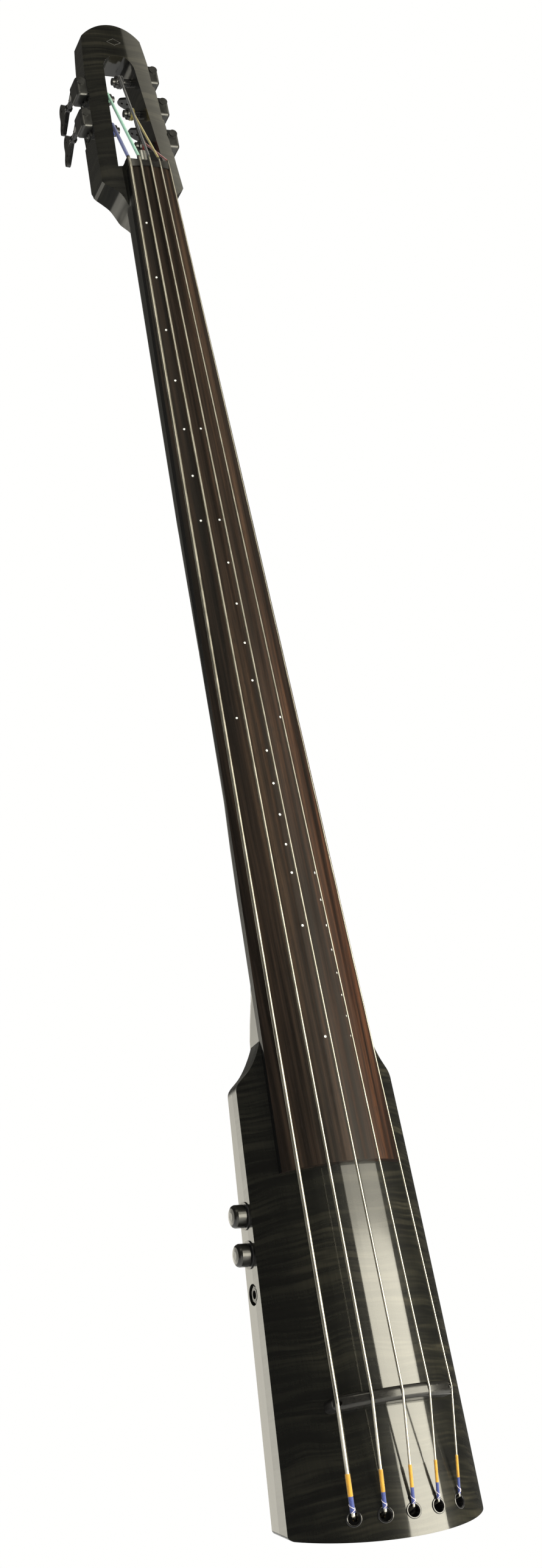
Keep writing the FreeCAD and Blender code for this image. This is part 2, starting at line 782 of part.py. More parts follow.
def path_solid(points, radius):
    """Round line through a list of points, with a ball at each bend."""
    parts = []
    for start, end in zip(points, points[1:]):
        parts.append(rod(start, end, radius))
    for bend in points[1:-1]:
        parts.append(Part.makeSphere(radius, bend))
    return fuse(parts)


def string_path_near_bridge(i, radius):
    return path_solid([tail_bend(i), bridge_string(i), nut_string(i)], radius)


def string_path_near_nut(i, radius):
    return path_solid([bridge_string(i), nut_string(i), nut_rear_string(i), post_tangent(i)], radius)


def string(i):
    return path_solid(string_points(i), STRING_RADII[i])


def post_of_string(i):
    return [tuner for tuner in tuners() if tuner["string"] == i][0]


def wrap_radius(i):
    return POST_RADIUS + STRING_RADII[i] + SILK_THICKNESS + SILK_GAP


def post_tangent(i):
    """Point in front of the post where the silk leaves it for the nut."""
    tuner = post_of_string(i)
    centre = post_centre(tuner)
    wrap = V(tuner["wrap_u"], centre.y, centre.z)
    target = nut_rear_string(i)
    run = math.hypot(target.y - wrap.y, target.z - wrap.z)
    base = math.atan2(target.z - wrap.z, target.y - wrap.y)
    turn = math.acos(wrap_radius(i) / run)
    angle = base + turn
    if math.cos(base - turn) < math.cos(angle):
        angle = base - turn
    return V(wrap.x, wrap.y + wrap_radius(i) * math.cos(angle), wrap.z + wrap_radius(i) * math.sin(angle))


def head_silk(i):
    """Silk-covered end of a string: a straight run and its turns round the post."""
    radius = STRING_RADII[i] + SILK_THICKNESS
    tangent = post_tangent(i)
    run_end = along(tangent, tangent.sub(silk_start(i)), 0.35 * radius)
    run = rod(silk_start(i), run_end, SILK_RUN_SHARE * radius)
    return fuse([silk_turns(i), run])


def silk_turns(i):
    """Close turns round the post: one ring with a round bulge for each turn."""
    radius = STRING_RADII[i] + SILK_THICKNESS
    tuner = post_of_string(i)
    centre = post_centre(tuner)
    outward = V(tuner["side"], 0, 0)
    inner = POST_RADIUS + SILK_GAP
    bulges = []
    for turn in range(SILK_TURNS):
        middle = SILK_TURN_STEP * radius * turn
        half = 0.5 * SILK_TURN_STEP * radius
        valley = wrap_radius(i) + math.sqrt(radius * radius - half * half)
        bulges.append(Part.Arc(
            V(valley, 0, middle - half),
            V(wrap_radius(i) + radius, 0, middle),
            V(valley, 0, middle + half)).toShape())
    first = V(valley, 0, -half)
    last = V(valley, 0, middle + half)
    sides = Part.makePolygon([last, V(inner, 0, last.z), V(inner, 0, first.z), first])
    ring = Part.Face(Part.Wire(bulges + sides.Edges)).revolve(V(0, 0, 0), V(0, 0, 1), 360)
    first_turn = V(post_tangent(i).x, centre.y, centre.z)
    ring.Placement = FreeCAD.Placement(first_turn, FreeCAD.Rotation(V(0, 0, 1), outward))
    return ring


def ball_end(i):
    """Brass barrel that holds the string below the anchor's floor."""
    centre = ball_centre(i)
    out = anchor_out(i)
    half = V(-out.y, out.x, 0).multiply(BALL_LENGTH / 2)
    barrel = rod(centre.sub(half), centre.add(half), BALL_RADIUS)
    socket_start = along(centre, out, 0.55 * BALL_RADIUS - SOLID_GAP)
    return barrel.cut(rod(socket_start, anchor_floor(i), STRING_RADII[i] + SOLID_GAP))


def tail_silk_span(i, first, last):
    """Part of the string between the bridge and the anchor, measured back from the anchor lip."""
    lip = tail_bend(i)
    towards = bridge_string(i).sub(lip)
    return along(lip, towards, first), along(lip, towards, last)


def tail_silk(i, span):
    start, end = tail_silk_span(i, span[0], span[1])
    inner = STRING_RADII[i] + 0.02
    return tube(start, end, inner + SILK_THICKNESS, inner)


def anchor_cup(i):
    mouth = anchor_mouth(i)
    out = anchor_out(i)
    profile = [
        (-CUP_LENGTH, 0.0),
        (-CUP_LENGTH, CUP_OUTER),
        (-0.6, CUP_OUTER),
        (-0.6, CUP_OUTER + 0.5),
        (CUP_RIM - 0.2, CUP_OUTER + 0.5),
        (CUP_RIM, CUP_OUTER + 0.1),
        (CUP_RIM, CUP_INNER + 0.4),
        (CUP_RIM - 0.4, CUP_INNER),
        (-CUP_LENGTH + CUP_FLOOR, CUP_INNER),
        (-CUP_LENGTH + CUP_FLOOR, 0.0),
    ]
    cup = turned_about(mouth, out, profile)
    pass_hole = rod(along(mouth, out, -CUP_LENGTH - 1), along(mouth, out, -CUP_LENGTH + CUP_FLOOR + 1), 1.7)
    cup = cup.cut(pass_hole)
    return cup.cut(path_solid(string_points(i)[1:4], STRING_RADII[i] + SILK_THICKNESS + SOLID_GAP))


def anchor_hole(i):
    mouth = anchor_mouth(i)
    out = anchor_out(i)
    wide = rod(along(mouth, out, -0.62), along(mouth, out, 4), CUP_OUTER + 0.55)
    deep = rod(along(mouth, out, -CUP_LENGTH - 2 * BALL_RADIUS - 1.5), along(mouth, out, 4), CUP_OUTER + 0.03)
    return [wide, deep]


# ---------------------------------------------------------------- tuning machines
TUNER_CENTRE_DISTANCE = 8.6       # worm axis to post axis
TUNER_WHEEL_RADIUS = 4.9
TUNER_WHEEL_THICKNESS = 4.4
TUNER_WORM_RADIUS = 3.5
TUNER_REACH = 10.0                # how far a housing stands out from the cheek
TUNER_WORM_OFFSET = 5.0
POST_DEPTH = 18.5                 # post axis behind the head's crown line
HOUSING_FRONT = 7.0               # housing's front face behind the head's crown line
HOUSING_DEPTH = 19.0
HOUSING_ABOVE = 5.6
HOUSING_BELOW = 6.3
HOUSING_WALL = 1.1
NOSE_LENGTH = 8.0                 # tapered bearing behind the housing
FOOT_LENGTH = 6.0                 # screwed foot below the housing
FOOT_THICKNESS = 1.6
FOOT_SCREW_RADIUS = 1.1
KEY_DEPTH = 55.0                  # middle of the key behind the head's crown line
KEY_REACH = 17.0                  # from the spindle's axis to the tip of a lobe
KEY_THICKNESS = 3.6
KEY_HOLE_RADIUS = 1.1
SPINDLE_RADIUS = 2.2
WORM_TURNS = 7
WORM_PITCH = 2.0


def tuners():
    """Five machines: two on the bass cheek, three on the treble cheek."""
    table = []
    for string_index, side, worm_s, wrap_u, turn in [
            (0, -1, -75.5, -13.3, 6), (1, -1, -112.5, -11.2, 6),
            (2, 1, -135.0, 4.8, -58), (3, 1, -97.5, 8.8, -52), (4, 1, -60.0, 12.6, -55)]:
        table.append({"string": string_index, "side": side, "worm_s": worm_s, "wrap_u": wrap_u, "turn": turn})
    return table


def cheek_side(s):
    """Sideways position of the cheek's outer face beside a machine."""
    for (u0, s0), (u1, s1) in zip(CHEEK_LINE, CHEEK_LINE[1:]):
        if s <= s1:
            return u0 + (u1 - u0) * (s - s0) / (s1 - s0)
    return CHEEK_LINE[-1][0]


def tuner_plane(tuner):
    """Sideways position of the flat seat cut into the cheek for a housing."""
    return cheek_side(tuner["worm_s"] - HOUSING_ABOVE) + 0.1


def post_centre(tuner):
    post_s = tuner["worm_s"] + TUNER_CENTRE_DISTANCE
    return point(tuner["side"] * tuner_plane(tuner), head_crown(post_s) + POST_DEPTH, post_s)


def worm_line(tuner):
    """Points where the worm axis meets the housing's front and the key's middle."""
    u = tuner["side"] * (tuner_plane(tuner) + TUNER_WORM_OFFSET)
    base = head_crown(tuner["worm_s"])
    return point(u, base + HOUSING_FRONT, tuner["worm_s"]), point(u, base + KEY_DEPTH, tuner["worm_s"])


def post_hole(tuner):
    centre = post_centre(tuner)
    inward = V(-tuner["side"], 0, 0)
    return rod(along(centre, inward, -1), along(centre, inward, 30), POST_RADIUS + 0.06)


def housing_seat(tuner):
    """Material to clear from the cheek so that the housing lies flat on it."""
    plane = tuner_plane(tuner)
    post = post_centre(tuner)
    front = worm_line(tuner)[0]
    low = post.z - HOUSING_BELOW - FOOT_LENGTH - 1.0
    high = front.z + HOUSING_ABOVE + 1.0
    seat = Part.makeBox(20, HOUSING_DEPTH + 60, high - low, V(plane - SOLID_GAP, front.y - 30, low))
    if tuner["side"] < 0:
        seat = seat.mirror(V(0, 0, 0), V(1, 0, 0))
    return seat


def foot_screw_place(tuner):
    """Where the screw of a housing's foot enters the cheek."""
    centre = post_centre(tuner)
    low = centre.z - HOUSING_BELOW
    return V(centre.x, centre.y, low - FOOT_LENGTH / 2 + 0.4)


def foot_screw_hole(tuner):
    place = foot_screw_place(tuner)
    inward = V(-tuner["side"], 0, 0)
    return rod(along(place, inward, -0.5), along(place, inward, 9.3), FOOT_SCREW_RADIUS + 0.05)


def tuner_screws():
    """Round-headed screws that hold the housings' feet to the cheeks."""
    screws = []
    for tuner in tuners():
        outward = V(tuner["side"], 0, 0)
        place = along(foot_screw_place(tuner), outward, FOOT_THICKNESS + 0.02)
        profile = [
            (-FOOT_THICKNESS - 9.0, 0.0), (-FOOT_THICKNESS - 9.0, 0.4), (-FOOT_THICKNESS - 7.0, FOOT_SCREW_RADIUS),
            (0.0, FOOT_SCREW_RADIUS), (0.0, 2.3), (0.8, 2.1), (1.4, 1.4), (1.7, 0.0),
        ]
        screw = turned_about(place, outward, profile)
        screws.append(screw.cut(cross_slot(place, outward)))
    return group(screws)


def cross_slot(place, outward):
    """Two crossed slots in a round screw head that faces along X."""
    blades = []
    for width, height in [(0.6, 2.6), (2.6, 0.6)]:
        blade = Part.makeBox(2.0, width, height, V(0.8 if outward.x > 0 else -2.8, -width / 2, -height / 2))
        blade.translate(place)
        blades.append(blade)
    return blades


def tuner_housing(tuner):
    """Hollow rounded case, round boss in front, tapered nose behind and a screwed foot below."""
    side = tuner["side"]
    plane = tuner_plane(tuner)
    front_point, key_point = worm_line(tuner)
    post = post_centre(tuner)
    front = front_point.y
    top = front_point.z + HOUSING_ABOVE
    low = post.z - HOUSING_BELOW
    case_u = plane if side > 0 else -plane - TUNER_REACH
    case = Part.makeBox(TUNER_REACH, HOUSING_DEPTH, top - low, V(case_u, front, low))
    case = case.makeFillet(3.0, outer_edges(case, plane + TUNER_REACH))
    foot_u = plane if side > 0 else -plane - FOOT_THICKNESS
    foot = Part.makeBox(FOOT_THICKNESS, 9.0, FOOT_LENGTH + 4.0, V(foot_u, post.y - 4.5, low - FOOT_LENGTH))
    boss = rod(V(front_point.x, front - 1.1, front_point.z), V(front_point.x, front + 0.5, front_point.z), 3.8)
    back = front + HOUSING_DEPTH
    nose = Part.makeCone(4.6, 3.2, NOSE_LENGTH, V(front_point.x, back - 0.5, front_point.z), V(0, 1, 0))
    wall = HOUSING_WALL
    hollow = Part.makeBox(TUNER_REACH - 2 * wall, HOUSING_DEPTH - 2 * wall, top - low - 2 * wall,
                          V(case_u + wall, front + wall, low + wall))
    hollow = hollow.makeFillet(1.9, hollow.Edges)
    case = fuse([case, boss, nose, foot]).cut(hollow)
    worm_bore = rod(V(front_point.x, back - wall - 1.0, front_point.z), key_point, SPINDLE_RADIUS + 0.05)
    outward = V(side, 0, 0)
    post_bore = rod(along(post, outward, -2), along(post, outward, wall + 0.4), POST_RADIUS + 0.05)
    place = foot_screw_place(tuner)
    screw_bore = rod(along(place, outward, -1), along(place, outward, 3), FOOT_SCREW_RADIUS + 0.05)
    return case.cut(worm_bore).cut(post_bore).cut(screw_bore)


def outer_edges(case, outer):
    """Edges of the outer face and the four edges that run out from the cheek."""
    chosen = []
    for edge in case.Edges:
        first, last = edge.Vertexes[0].Point, edge.Vertexes[1].Point
        on_outer_face = abs(abs(first.x) - outer) < 0.01 and abs(abs(last.x) - outer) < 0.01
        if on_outer_face or abs(first.x - last.x) > 1:
            chosen.append(edge)
    return chosen


def tuner_post(tuner):
    """String post with its worm wheel at the outer end and a flanged inner end."""
    side = tuner["side"]
    centre = post_centre(tuner)
    inward = V(-side, 0, 0)
    inner_end = abs(centre.x - tuner["wrap_u"]) + wrap_room(tuner)
    wheel_start = along(centre, inward, -(TUNER_WORM_OFFSET + TUNER_WHEEL_THICKNESS / 2))
    wheel_end = along(centre, inward, -(TUNER_WORM_OFFSET - TUNER_WHEEL_THICKNESS / 2))
    shaft = rod(wheel_end, along(centre, inward, inner_end), POST_RADIUS)
    wheel = worm_wheel(wheel_start, wheel_end)
    flange = rod(along(centre, inward, inner_end), along(centre, inward, inner_end + 2.0), POST_RADIUS + 1.6)
    tip = rod(along(centre, inward, inner_end + 2.0), along(centre, inward, inner_end + 5.0), POST_RADIUS - 0.2)
    return fuse([shaft, wheel, flange, tip])


def wrap_room(tuner):
    """From the first turn's middle to the flange at the post's inner end."""
    return STRING_RADII[tuner["string"]] + SILK_THICKNESS + 0.3


def worm_wheel(start, end):
    """Disc with a ring of teeth."""
    disc = rod(start, end, TUNER_WHEEL_RADIUS)
    teeth = 20
    notches = []
    for k in range(teeth):
        angle = 2 * math.pi * k / teeth
        offset = V(0, TUNER_WHEEL_RADIUS * math.cos(angle), TUNER_WHEEL_RADIUS * math.sin(angle))
        notches.append(rod(start.add(offset), end.add(offset), 0.55))
    return disc.cut(notches)


def tuner_key(tuner):
    """Worm, spindle and butterfly key in one turning piece."""
    front_point = worm_line(tuner)[0]
    start = HOUSING_WALL + 0.1
    profile = [(start, 0.0), (start, 2.2)]
    worm_start = start + 1.2
    for k in range(WORM_TURNS):
        base = worm_start + k * WORM_PITCH
        profile += [
            (base, 2.4),
            (base + 0.6, TUNER_WORM_RADIUS),
            (base + 1.2, TUNER_WORM_RADIUS),
            (base + 1.8, 2.4),
        ]
    worm_end = worm_start + WORM_TURNS * WORM_PITCH
    nose_end = HOUSING_DEPTH - 0.5 + NOSE_LENGTH
    length = KEY_DEPTH - HOUSING_FRONT
    profile += [
        (worm_end, SPINDLE_RADIUS),
        (nose_end + 0.3, SPINDLE_RADIUS),
        (nose_end + 0.3, 3.1),
        (nose_end + 1.8, 3.1),
        (nose_end + 2.6, 2.5),
        (length - 12.0, 2.5),
        (length - 11.0, 3.6),
        (length - 8.5, 3.6),
        (length - 6.5, 2.3),
        (length, 2.0),
        (length, 0.0),
    ]
    spindle = turned_about(front_point, V(0, 1, 0), profile)
    return fuse([spindle, butterfly(front_point, length, tuner["turn"])])


def butterfly(front_point, length, turn):
    """Flat two-lobed finger plate with two small holes in each lobe, at rest at a given turn."""
    profile = [
        (-8.0, 2.4), (-5.5, 4.8), (-2.0, 9.0), (2.5, 13.6), (7.0, KEY_REACH), (10.2, KEY_REACH - 1.4),
        (11.6, KEY_REACH - 5.0), (11.4, 6.5), (10.4, 2.4), (10.1, 0.0),
    ]
    outline = [V(0, length + a, reach) for a, reach in profile]
    outline += [V(0, length + a, -reach) for a, reach in reversed(profile[:-1])]
    curve = Part.BSplineCurve()
    curve.interpolate(outline)
    face = Part.Face(Part.Wire([curve.toShape(), Part.makeLine(outline[-1], outline[0])]))
    plate = face.extrude(V(KEY_THICKNESS, 0, 0))
    plate.translate(V(-KEY_THICKNESS / 2, 0, 0))
    for side in (-1, 1):
        for a, reach in [(6.8, KEY_REACH - 4.6), (4.6, KEY_REACH - 9.2)]:
            mouth = V(-KEY_THICKNESS, length + a, side * reach)
            plate = plate.cut(Part.makeCylinder(KEY_HOLE_RADIUS, 2 * KEY_THICKNESS, mouth, V(1, 0, 0)))
    plate.rotate(V(0, 0, 0), V(0, 1, 0), turn)
    plate.translate(front_point)
    return plate


# ---------------------------------------------------------------- controls on the bass edge
KNOB_S = [918.0, 946.5]
KNOB_NAMES = ["volume", "tone"]
JACK_S = 975.5
KNOB_RADIUS = 8.6
KNOB_HEIGHT = 10.0
WASHER_RADIUS = 10.4
WASHER_BORE_RADIUS = 5.95
WALL = 5.0
SHAFT_RADIUS = 3.0
BUSHING_RADIUS = 3.9
CONTROL_CAN_RADIUS = 7.0


def edge_depth(s):
    """Depth of the middle of the bass side wall, where the controls sit."""
    front = body_surface(body_half_width(s), s)
    return 0.44 * front + 0.56 * back_plane(s)


def edge_place(s):
    return point(-body_half_width(s), edge_depth(s), s)


def bass_out():
    return side_out(-1)


def control_cavity():
    """Pocket from the back for the controls, parallel to the bass edge."""
    s0, s1 = 896.0, 996.0
    inner = -26.0
    corners = [
        point(-body_half_width(s0) + WALL, 0, s0),
        point(-body_half_width(s1) + WALL, 0, s1),
        point(inner, 0, s1),
        point(inner, 0, s0),
    ]
    pocket = prism(corners, V(0, 120, 0)).common(behind(pocket_floor, s0 - 10, s1 + 10))
    beside_cover = box(-100, COVER_U[0], 0, 120, s0 - 5, s1 + 5)
    return pocket.cut(beside_cover.common(behind(lip_plane, s0 - 10, s1 + 10)))


def pocket_floor(s):
    return edge_depth(s) - 13.0


def lip_plane(s):
    """Inside of the thin strip of back that stands between the cover and the bass edge."""
    return back_plane(s) - LIP_THICKNESS


COVER_U = (-57.5, -16.0)
COVER_S = (886.0, 1006.0)
COVER_THICKNESS = 2.0
LIP_THICKNESS = 2.2


def cover_blank(grow):
    """Flat plate let into the back over the pocket."""
    u0, u1 = COVER_U
    s0, s1 = COVER_S
    middle_s = (s0 + s1) / 2
    plate = Part.makeBox(u1 - u0 + 2 * grow, COVER_THICKNESS, s1 - s0 + 2 * grow,
                         V(u0 - grow, -COVER_THICKNESS, -(s1 - s0) / 2 - grow))
    upright = [edge for edge in plate.Edges if abs(edge.Vertexes[0].Point.y - edge.Vertexes[1].Point.y) > 1]
    return lay_on_back(plate.makeFillet(5.0, upright), 0, middle_s)


def cover_screw_places():
    u0, u1 = COVER_U
    s0, s1 = COVER_S
    return [(u, s) for u in (u0 + 4.5, u1 - 4.5) for s in (s0 + 4.5, s1 - 4.5)]


def back_screw(u, s, length=11.0):
    """Countersunk screw driven into the back, head flush."""
    seat = on_back(u, s)
    inward = back_out().multiply(-1)
    profile = [(0.0, 0.0), (0.0, 3.0), (1.7, SCREW_RADIUS), (length - 2.0, SCREW_RADIUS), (length, 0.4), (length, 0.0)]
    screw = turned_about(seat, inward, profile)
    for turn in (0, 90):
        blade = Part.makeBox(3.2, 2.4, 0.8, V(-1.6, -1.2, -0.4))
        blade.rotate(V(0, 0, 0), V(0, 1, 0), turn)
        blade.rotate(V(0, 0, 0), V(1, 0, 0), BACK_ANGLE)
        blade.translate(seat)
        screw = screw.cut(blade)
    return screw


def back_screw_hole(u, s, length=11.0):
    seat = on_back(u, s)
    inward = back_out().multiply(-1)
    gap = 0.04
    profile = [(-1.0, 0.0), (-1.0, 3.0 + gap), (0.0, 3.0 + gap), (1.7, SCREW_RADIUS + gap),
               (length + 0.3, SCREW_RADIUS + gap), (length + 0.3, 0.0)]
    return turned_about(seat, inward, profile)


def cavity_cover():
    plate = cover_blank(0)
    for u, s in cover_screw_places():
        plate = plate.cut(back_screw_hole(u, s))
    return plate


def cavity_cover_screws():
    return group([back_screw(u, s) for u, s in cover_screw_places()])


def control_hole(s, radius):
    place = edge_place(s)
    return rod(along(place, bass_out(), -WALL - 3), along(place, bass_out(), 3), radius)


def knob(s):
    """Domed knob with a blind bore for the shaft."""
    place = edge_place(s)
    start = 1.3
    top = start + KNOB_HEIGHT
    profile = [
        (start, 0.0), (start, KNOB_RADIUS - 0.3), (start + 0.4, KNOB_RADIUS), (top - 3.2, KNOB_RADIUS),
        (top - 1.6, KNOB_RADIUS - 0.7), (top - 0.5, KNOB_RADIUS - 2.4), (top, KNOB_RADIUS - 5.4), (top, 0.0),
    ]
    body = turned_about(place, bass_out(), profile)
    bore = rod(along(place, bass_out(), start - 1), along(place, bass_out(), start + 7.0), SHAFT_RADIUS + 0.02)
    skirt = rod(along(place, bass_out(), start - 1), along(place, bass_out(), start + 2.4), BUSHING_RADIUS + 1.9)
    return body.cut(bore).cut(skirt)


def knob_shaft(s):
    place = edge_place(s)
    return rod(along(place, bass_out(), -WALL - 4.0), along(place, bass_out(), 1.3 + 6.8), SHAFT_RADIUS)


def potentiometer(s):
    """Control body inside the pocket with a hollow threaded bushing through the wall."""
    place = edge_place(s)
    out = bass_out()
    can = rod(along(place, out, -WALL - 9.0), along(place, out, -WALL - 0.1), CONTROL_CAN_RADIUS)
    bushing = rod(along(place, out, -WALL - 1.0), along(place, out, 2.2), BUSHING_RADIUS)
    bore = rod(along(place, out, -WALL - 4.2), along(place, out, 5), SHAFT_RADIUS + 0.05)
    lugs = []
    for k in (-1, 0, 1):
        start = along(place, out, -WALL - 3.0)
        lug = Part.makeBox(1.0, 2.0, 5.5, V(-0.5, k * 4 - 1.0, -CONTROL_CAN_RADIUS - 4.5))
        lug.translate(start)
        lugs.append(lug)
    return fuse([can, bushing] + lugs).cut(bore)


def control_washers():
    washers = []
    for s in KNOB_S:
        place = edge_place(s)
        inner_face = along(place, bass_out(), 0.02)
        outer_face = along(place, bass_out(), 0.9)
        washers.append(tube(inner_face, outer_face, WASHER_RADIUS, WASHER_BORE_RADIUS))
    return group(washers)


def control_nuts():
    """Hexagonal nuts on the two threaded bushings, inside the knobs' skirts."""
    nuts = []
    for s in KNOB_S:
        nuts.append(hexagon(edge_place(s), bass_out(), 0.05, 2.15, 5.2, BUSHING_RADIUS + 0.02))
    return group(nuts)


def hexagon(place, axis, start, end, corner_radius, bore):
    points = []
    for k in range(6):
        angle = math.radians(60 * k)
        points.append(V(corner_radius * math.cos(angle), corner_radius * math.sin(angle), start))
    solid = prism(points, V(0, 0, end - start))
    solid = solid.cut(Part.makeCylinder(bore, 40, V(0, 0, start - 20)))
    solid.Placement = FreeCAD.Placement(place, FreeCAD.Rotation(V(0, 0, 1), axis))
    return solid


JACK_RECESS = 8.0
JACK_RECESS_DEPTH = 3.2
JACK_BORE = 3.25
JACK_THREAD = 4.7


def output_jack():
    """Quarter-inch socket: threaded barrel through the wall and a case inside."""
    place = edge_place(JACK_S)
    out = bass_out()
    barrel = rod(along(place, out, -WALL - 8.0), along(place, out, -0.9), JACK_THREAD)
    case = rod(along(place, out, -WALL - 26.0), along(place, out, -WALL - 1.2), 7.0)
    bore = rod(along(place, out, -WALL - 23.5), along(place, out, 1), JACK_BORE)
    return fuse([barrel, case]).cut(bore)


def jack_nut():
    return hexagon(edge_place(JACK_S), bass_out(), -JACK_RECESS_DEPTH + 0.02, -1.2, 6.6, JACK_THREAD + 0.02)


def circuit_board():
    """Small preamplifier board on the pocket's floor."""
    s0, s1 = 902.0, 958.0
    u0, u1 = -41.5, -30.0
    middle = (s0 + s1) / 2
    thickness = 1.6
    sunk = thickness - 0.1
    parts = [Part.makeBox(u1 - u0, thickness, s1 - s0, V(u0, 0, -(s1 - s0) / 2))]
    for across, down, radius, height in [(3.0, -18.0, 2.4, 6.0), (7.5, -8.0, 2.0, 5.0), (3.5, 6.0, 2.4, 6.0)]:
        parts.append(Part.makeCylinder(radius, height, V(u0 + across, sunk, down), V(0, 1, 0)))
    parts.append(Part.makeBox(7.0, 2.8, 7.0, V(u0 + 2.0, sunk, 14.0)))
    board = fuse(parts)
    slope = math.degrees(math.atan((pocket_floor(s1) - pocket_floor(s0)) / (s1 - s0)))
    board.rotate(V(0, 0, 0), V(1, 0, 0), slope)
    board.translate(point(0, pocket_floor(middle) + 0.15, middle))
    return board


# ---------------------------------------------------------------- stand mount on the back
PLATE_WIDTH = 44.0
PLATE_HEIGHT = 64.0
PLATE_THICKNESS = 8.0
THREAD_RADIUS = 3.4               # tapping size of an M8 thread
BOLT_ROOM_RADIUS = 5.0            # space in the body for the bolt's end


def stand_plate_blank(grow):
    plate = Part.makeBox(PLATE_WIDTH + 2 * grow, PLATE_THICKNESS, PLATE_HEIGHT + 2 * grow,
                         V(-PLATE_WIDTH / 2 - grow, -PLATE_THICKNESS, -PLATE_HEIGHT / 2 - grow))
    upright = [edge for edge in plate.Edges if abs(edge.Vertexes[0].Point.y - edge.Vertexes[1].Point.y) > 1]
    return lay_on_back(plate.makeFillet(6.0, upright), 0, STAND_S)


def stand_screw_places():
    du = PLATE_WIDTH / 2 - 7.0
    ds = PLATE_HEIGHT / 2 - 7.0
    return [(u, STAND_S + s) for u in (-du, du) for s in (-ds, ds)]


def stand_bolt_hole(radius, extra):
    """Round hole square to the back, going deeper than the plate by some extra."""
    mouth = on_back(0, STAND_S)
    return rod(along(mouth, back_out(), -PLATE_THICKNESS - extra), along(mouth, back_out(), 1), radius)


def stand_plate():
    plate = stand_plate_blank(0).cut(stand_bolt_hole(THREAD_RADIUS, 1))
    for u, s in stand_screw_places():
        plate = plate.cut(back_screw_hole(u, s, 22.0))
    return plate


def stand_plate_screws():
    return group([back_screw(u, s, 22.0) for u, s in stand_screw_places()])


# ---------------------------------------------------------------- body pieces
def body_pieces(neck_part):
    """Divides the blank into the arched top and the core, and cuts every pocket and hole."""
    blank = body_blank()
    inside = body_arch(TOP_ARCH - TOP_THICKNESS)
    board_room = neck_blank([HEEL_END_S - 60, HEEL_END_S, BOARD_LENGTH]).cut(behind_board())
    cutters = [board_room]
    for i in string_numbers():
        cutters.extend(anchor_hole(i))
    for side in (-1, 1):
        seat, tip = bridge_screw_line(side)
        cutters.append(rod(seat, V(tip.x, tip.y + 0.3, tip.z), SCREW_RADIUS + 0.04))
    blank = blank.cut(neck_part).cut(cutters)
    top = blank.cut(inside)
    core = blank.common(inside)
    core_cutters = [control_cavity(), cover_blank(0.15), stand_plate_blank(0.1)]
    for u, s in cover_screw_places():
        core_cutters.append(back_screw_hole(u, s))
    for u, s in stand_screw_places():
        core_cutters.append(back_screw_hole(u, s, 22.0))
    for s in KNOB_S:
        core_cutters.append(control_hole(s, BUSHING_RADIUS + 0.05))
    core_cutters.append(control_hole(JACK_S, JACK_THREAD + 0.05))
    place = edge_place(JACK_S)
    core_cutters.append(rod(along(place, bass_out(), -JACK_RECESS_DEPTH), along(place, bass_out(), 4), JACK_RECESS))
    core_cutters.append(stand_bolt_hole(BOLT_ROOM_RADIUS, 14))
    core = core.cut(core_cutters)
    top = top.cut(core_cutters)
    return largest(top), largest(core)


# ---------------------------------------------------------------- whole bass
def all_nodes():
    neck_part = neck()
    top, core = body_pieces(neck_part)
    nodes = {
        "body_top": top,
        "body_core": core,
        "neck": neck_part,
        "headstock": headstock(neck_part),
        "headstock_inlay": headstock_inlay(),
        "fingerboard": fingerboard(),
        "position_dots": position_dots(),
        "nut": nut(),
        "truss_rod": truss_rod(),
        "truss_rod_nut": truss_rod_nut(),
        "bridge": bridge(),
        "bridge_screws": bridge_screws(),
        "bridge_pickup": bridge_pickup(),
        "string_anchors": group([anchor_cup(i) for i in string_numbers()]),
        "string_ball_ends": group([ball_end(i) for i in string_numbers()]),
        "tail_silk_gold": group([tail_silk(i, GOLD_SPAN) for i in string_numbers()]),
        "tail_silk_blue": group([tail_silk(i, BLUE_SPAN) for i in string_numbers()]),
        "tuner_screws": tuner_screws(),
        "control_washers": control_washers(),
        "control_nuts": control_nuts(),
        "output_jack": output_jack(),
        "jack_nut": jack_nut(),
        "circuit_board": circuit_board(),
        "cavity_cover": cavity_cover(),
        "cavity_cover_screws": cavity_cover_screws(),
        "stand_plate": stand_plate(),
        "stand_plate_screws": stand_plate_screws(),
    }
    for i in string_numbers():
        nodes["string_%d" % (i + 1)] = string(i)
        nodes["head_silk_%d" % (i + 1)] = head_silk(i)
    for tuner in tuners():
        number = tuner["string"] + 1
        nodes["tuner_housing_%d" % number] = tuner_housing(tuner)
        nodes["tuner_post_%d" % number] = tuner_post(tuner)
        nodes["tuner_key_%d" % number] = tuner_key(tuner)
    for name, s in zip(KNOB_NAMES, KNOB_S):
        nodes["%s_knob" % name] = knob(s)
        nodes["%s_shaft" % name] = knob_shaft(s)
        nodes["%s_control" % name] = potentiometer(s)
    return nodes


def main():
    os.makedirs("parts", exist_ok=True)
    to_origin = on_back(0, STAND_S).negative()
    for name, shape in all_nodes().items():
        shape.translate(to_origin)
        shape.exportStep("parts/%s.step" % name)


main()
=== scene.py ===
"""Looks of a slim five-string upright double bass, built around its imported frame.

Metres, in the frame's own axes: +X to the treble side, -Y to the front, +Z up to the head.
"""
import bpy
import math
from mathutils import Matrix, Vector


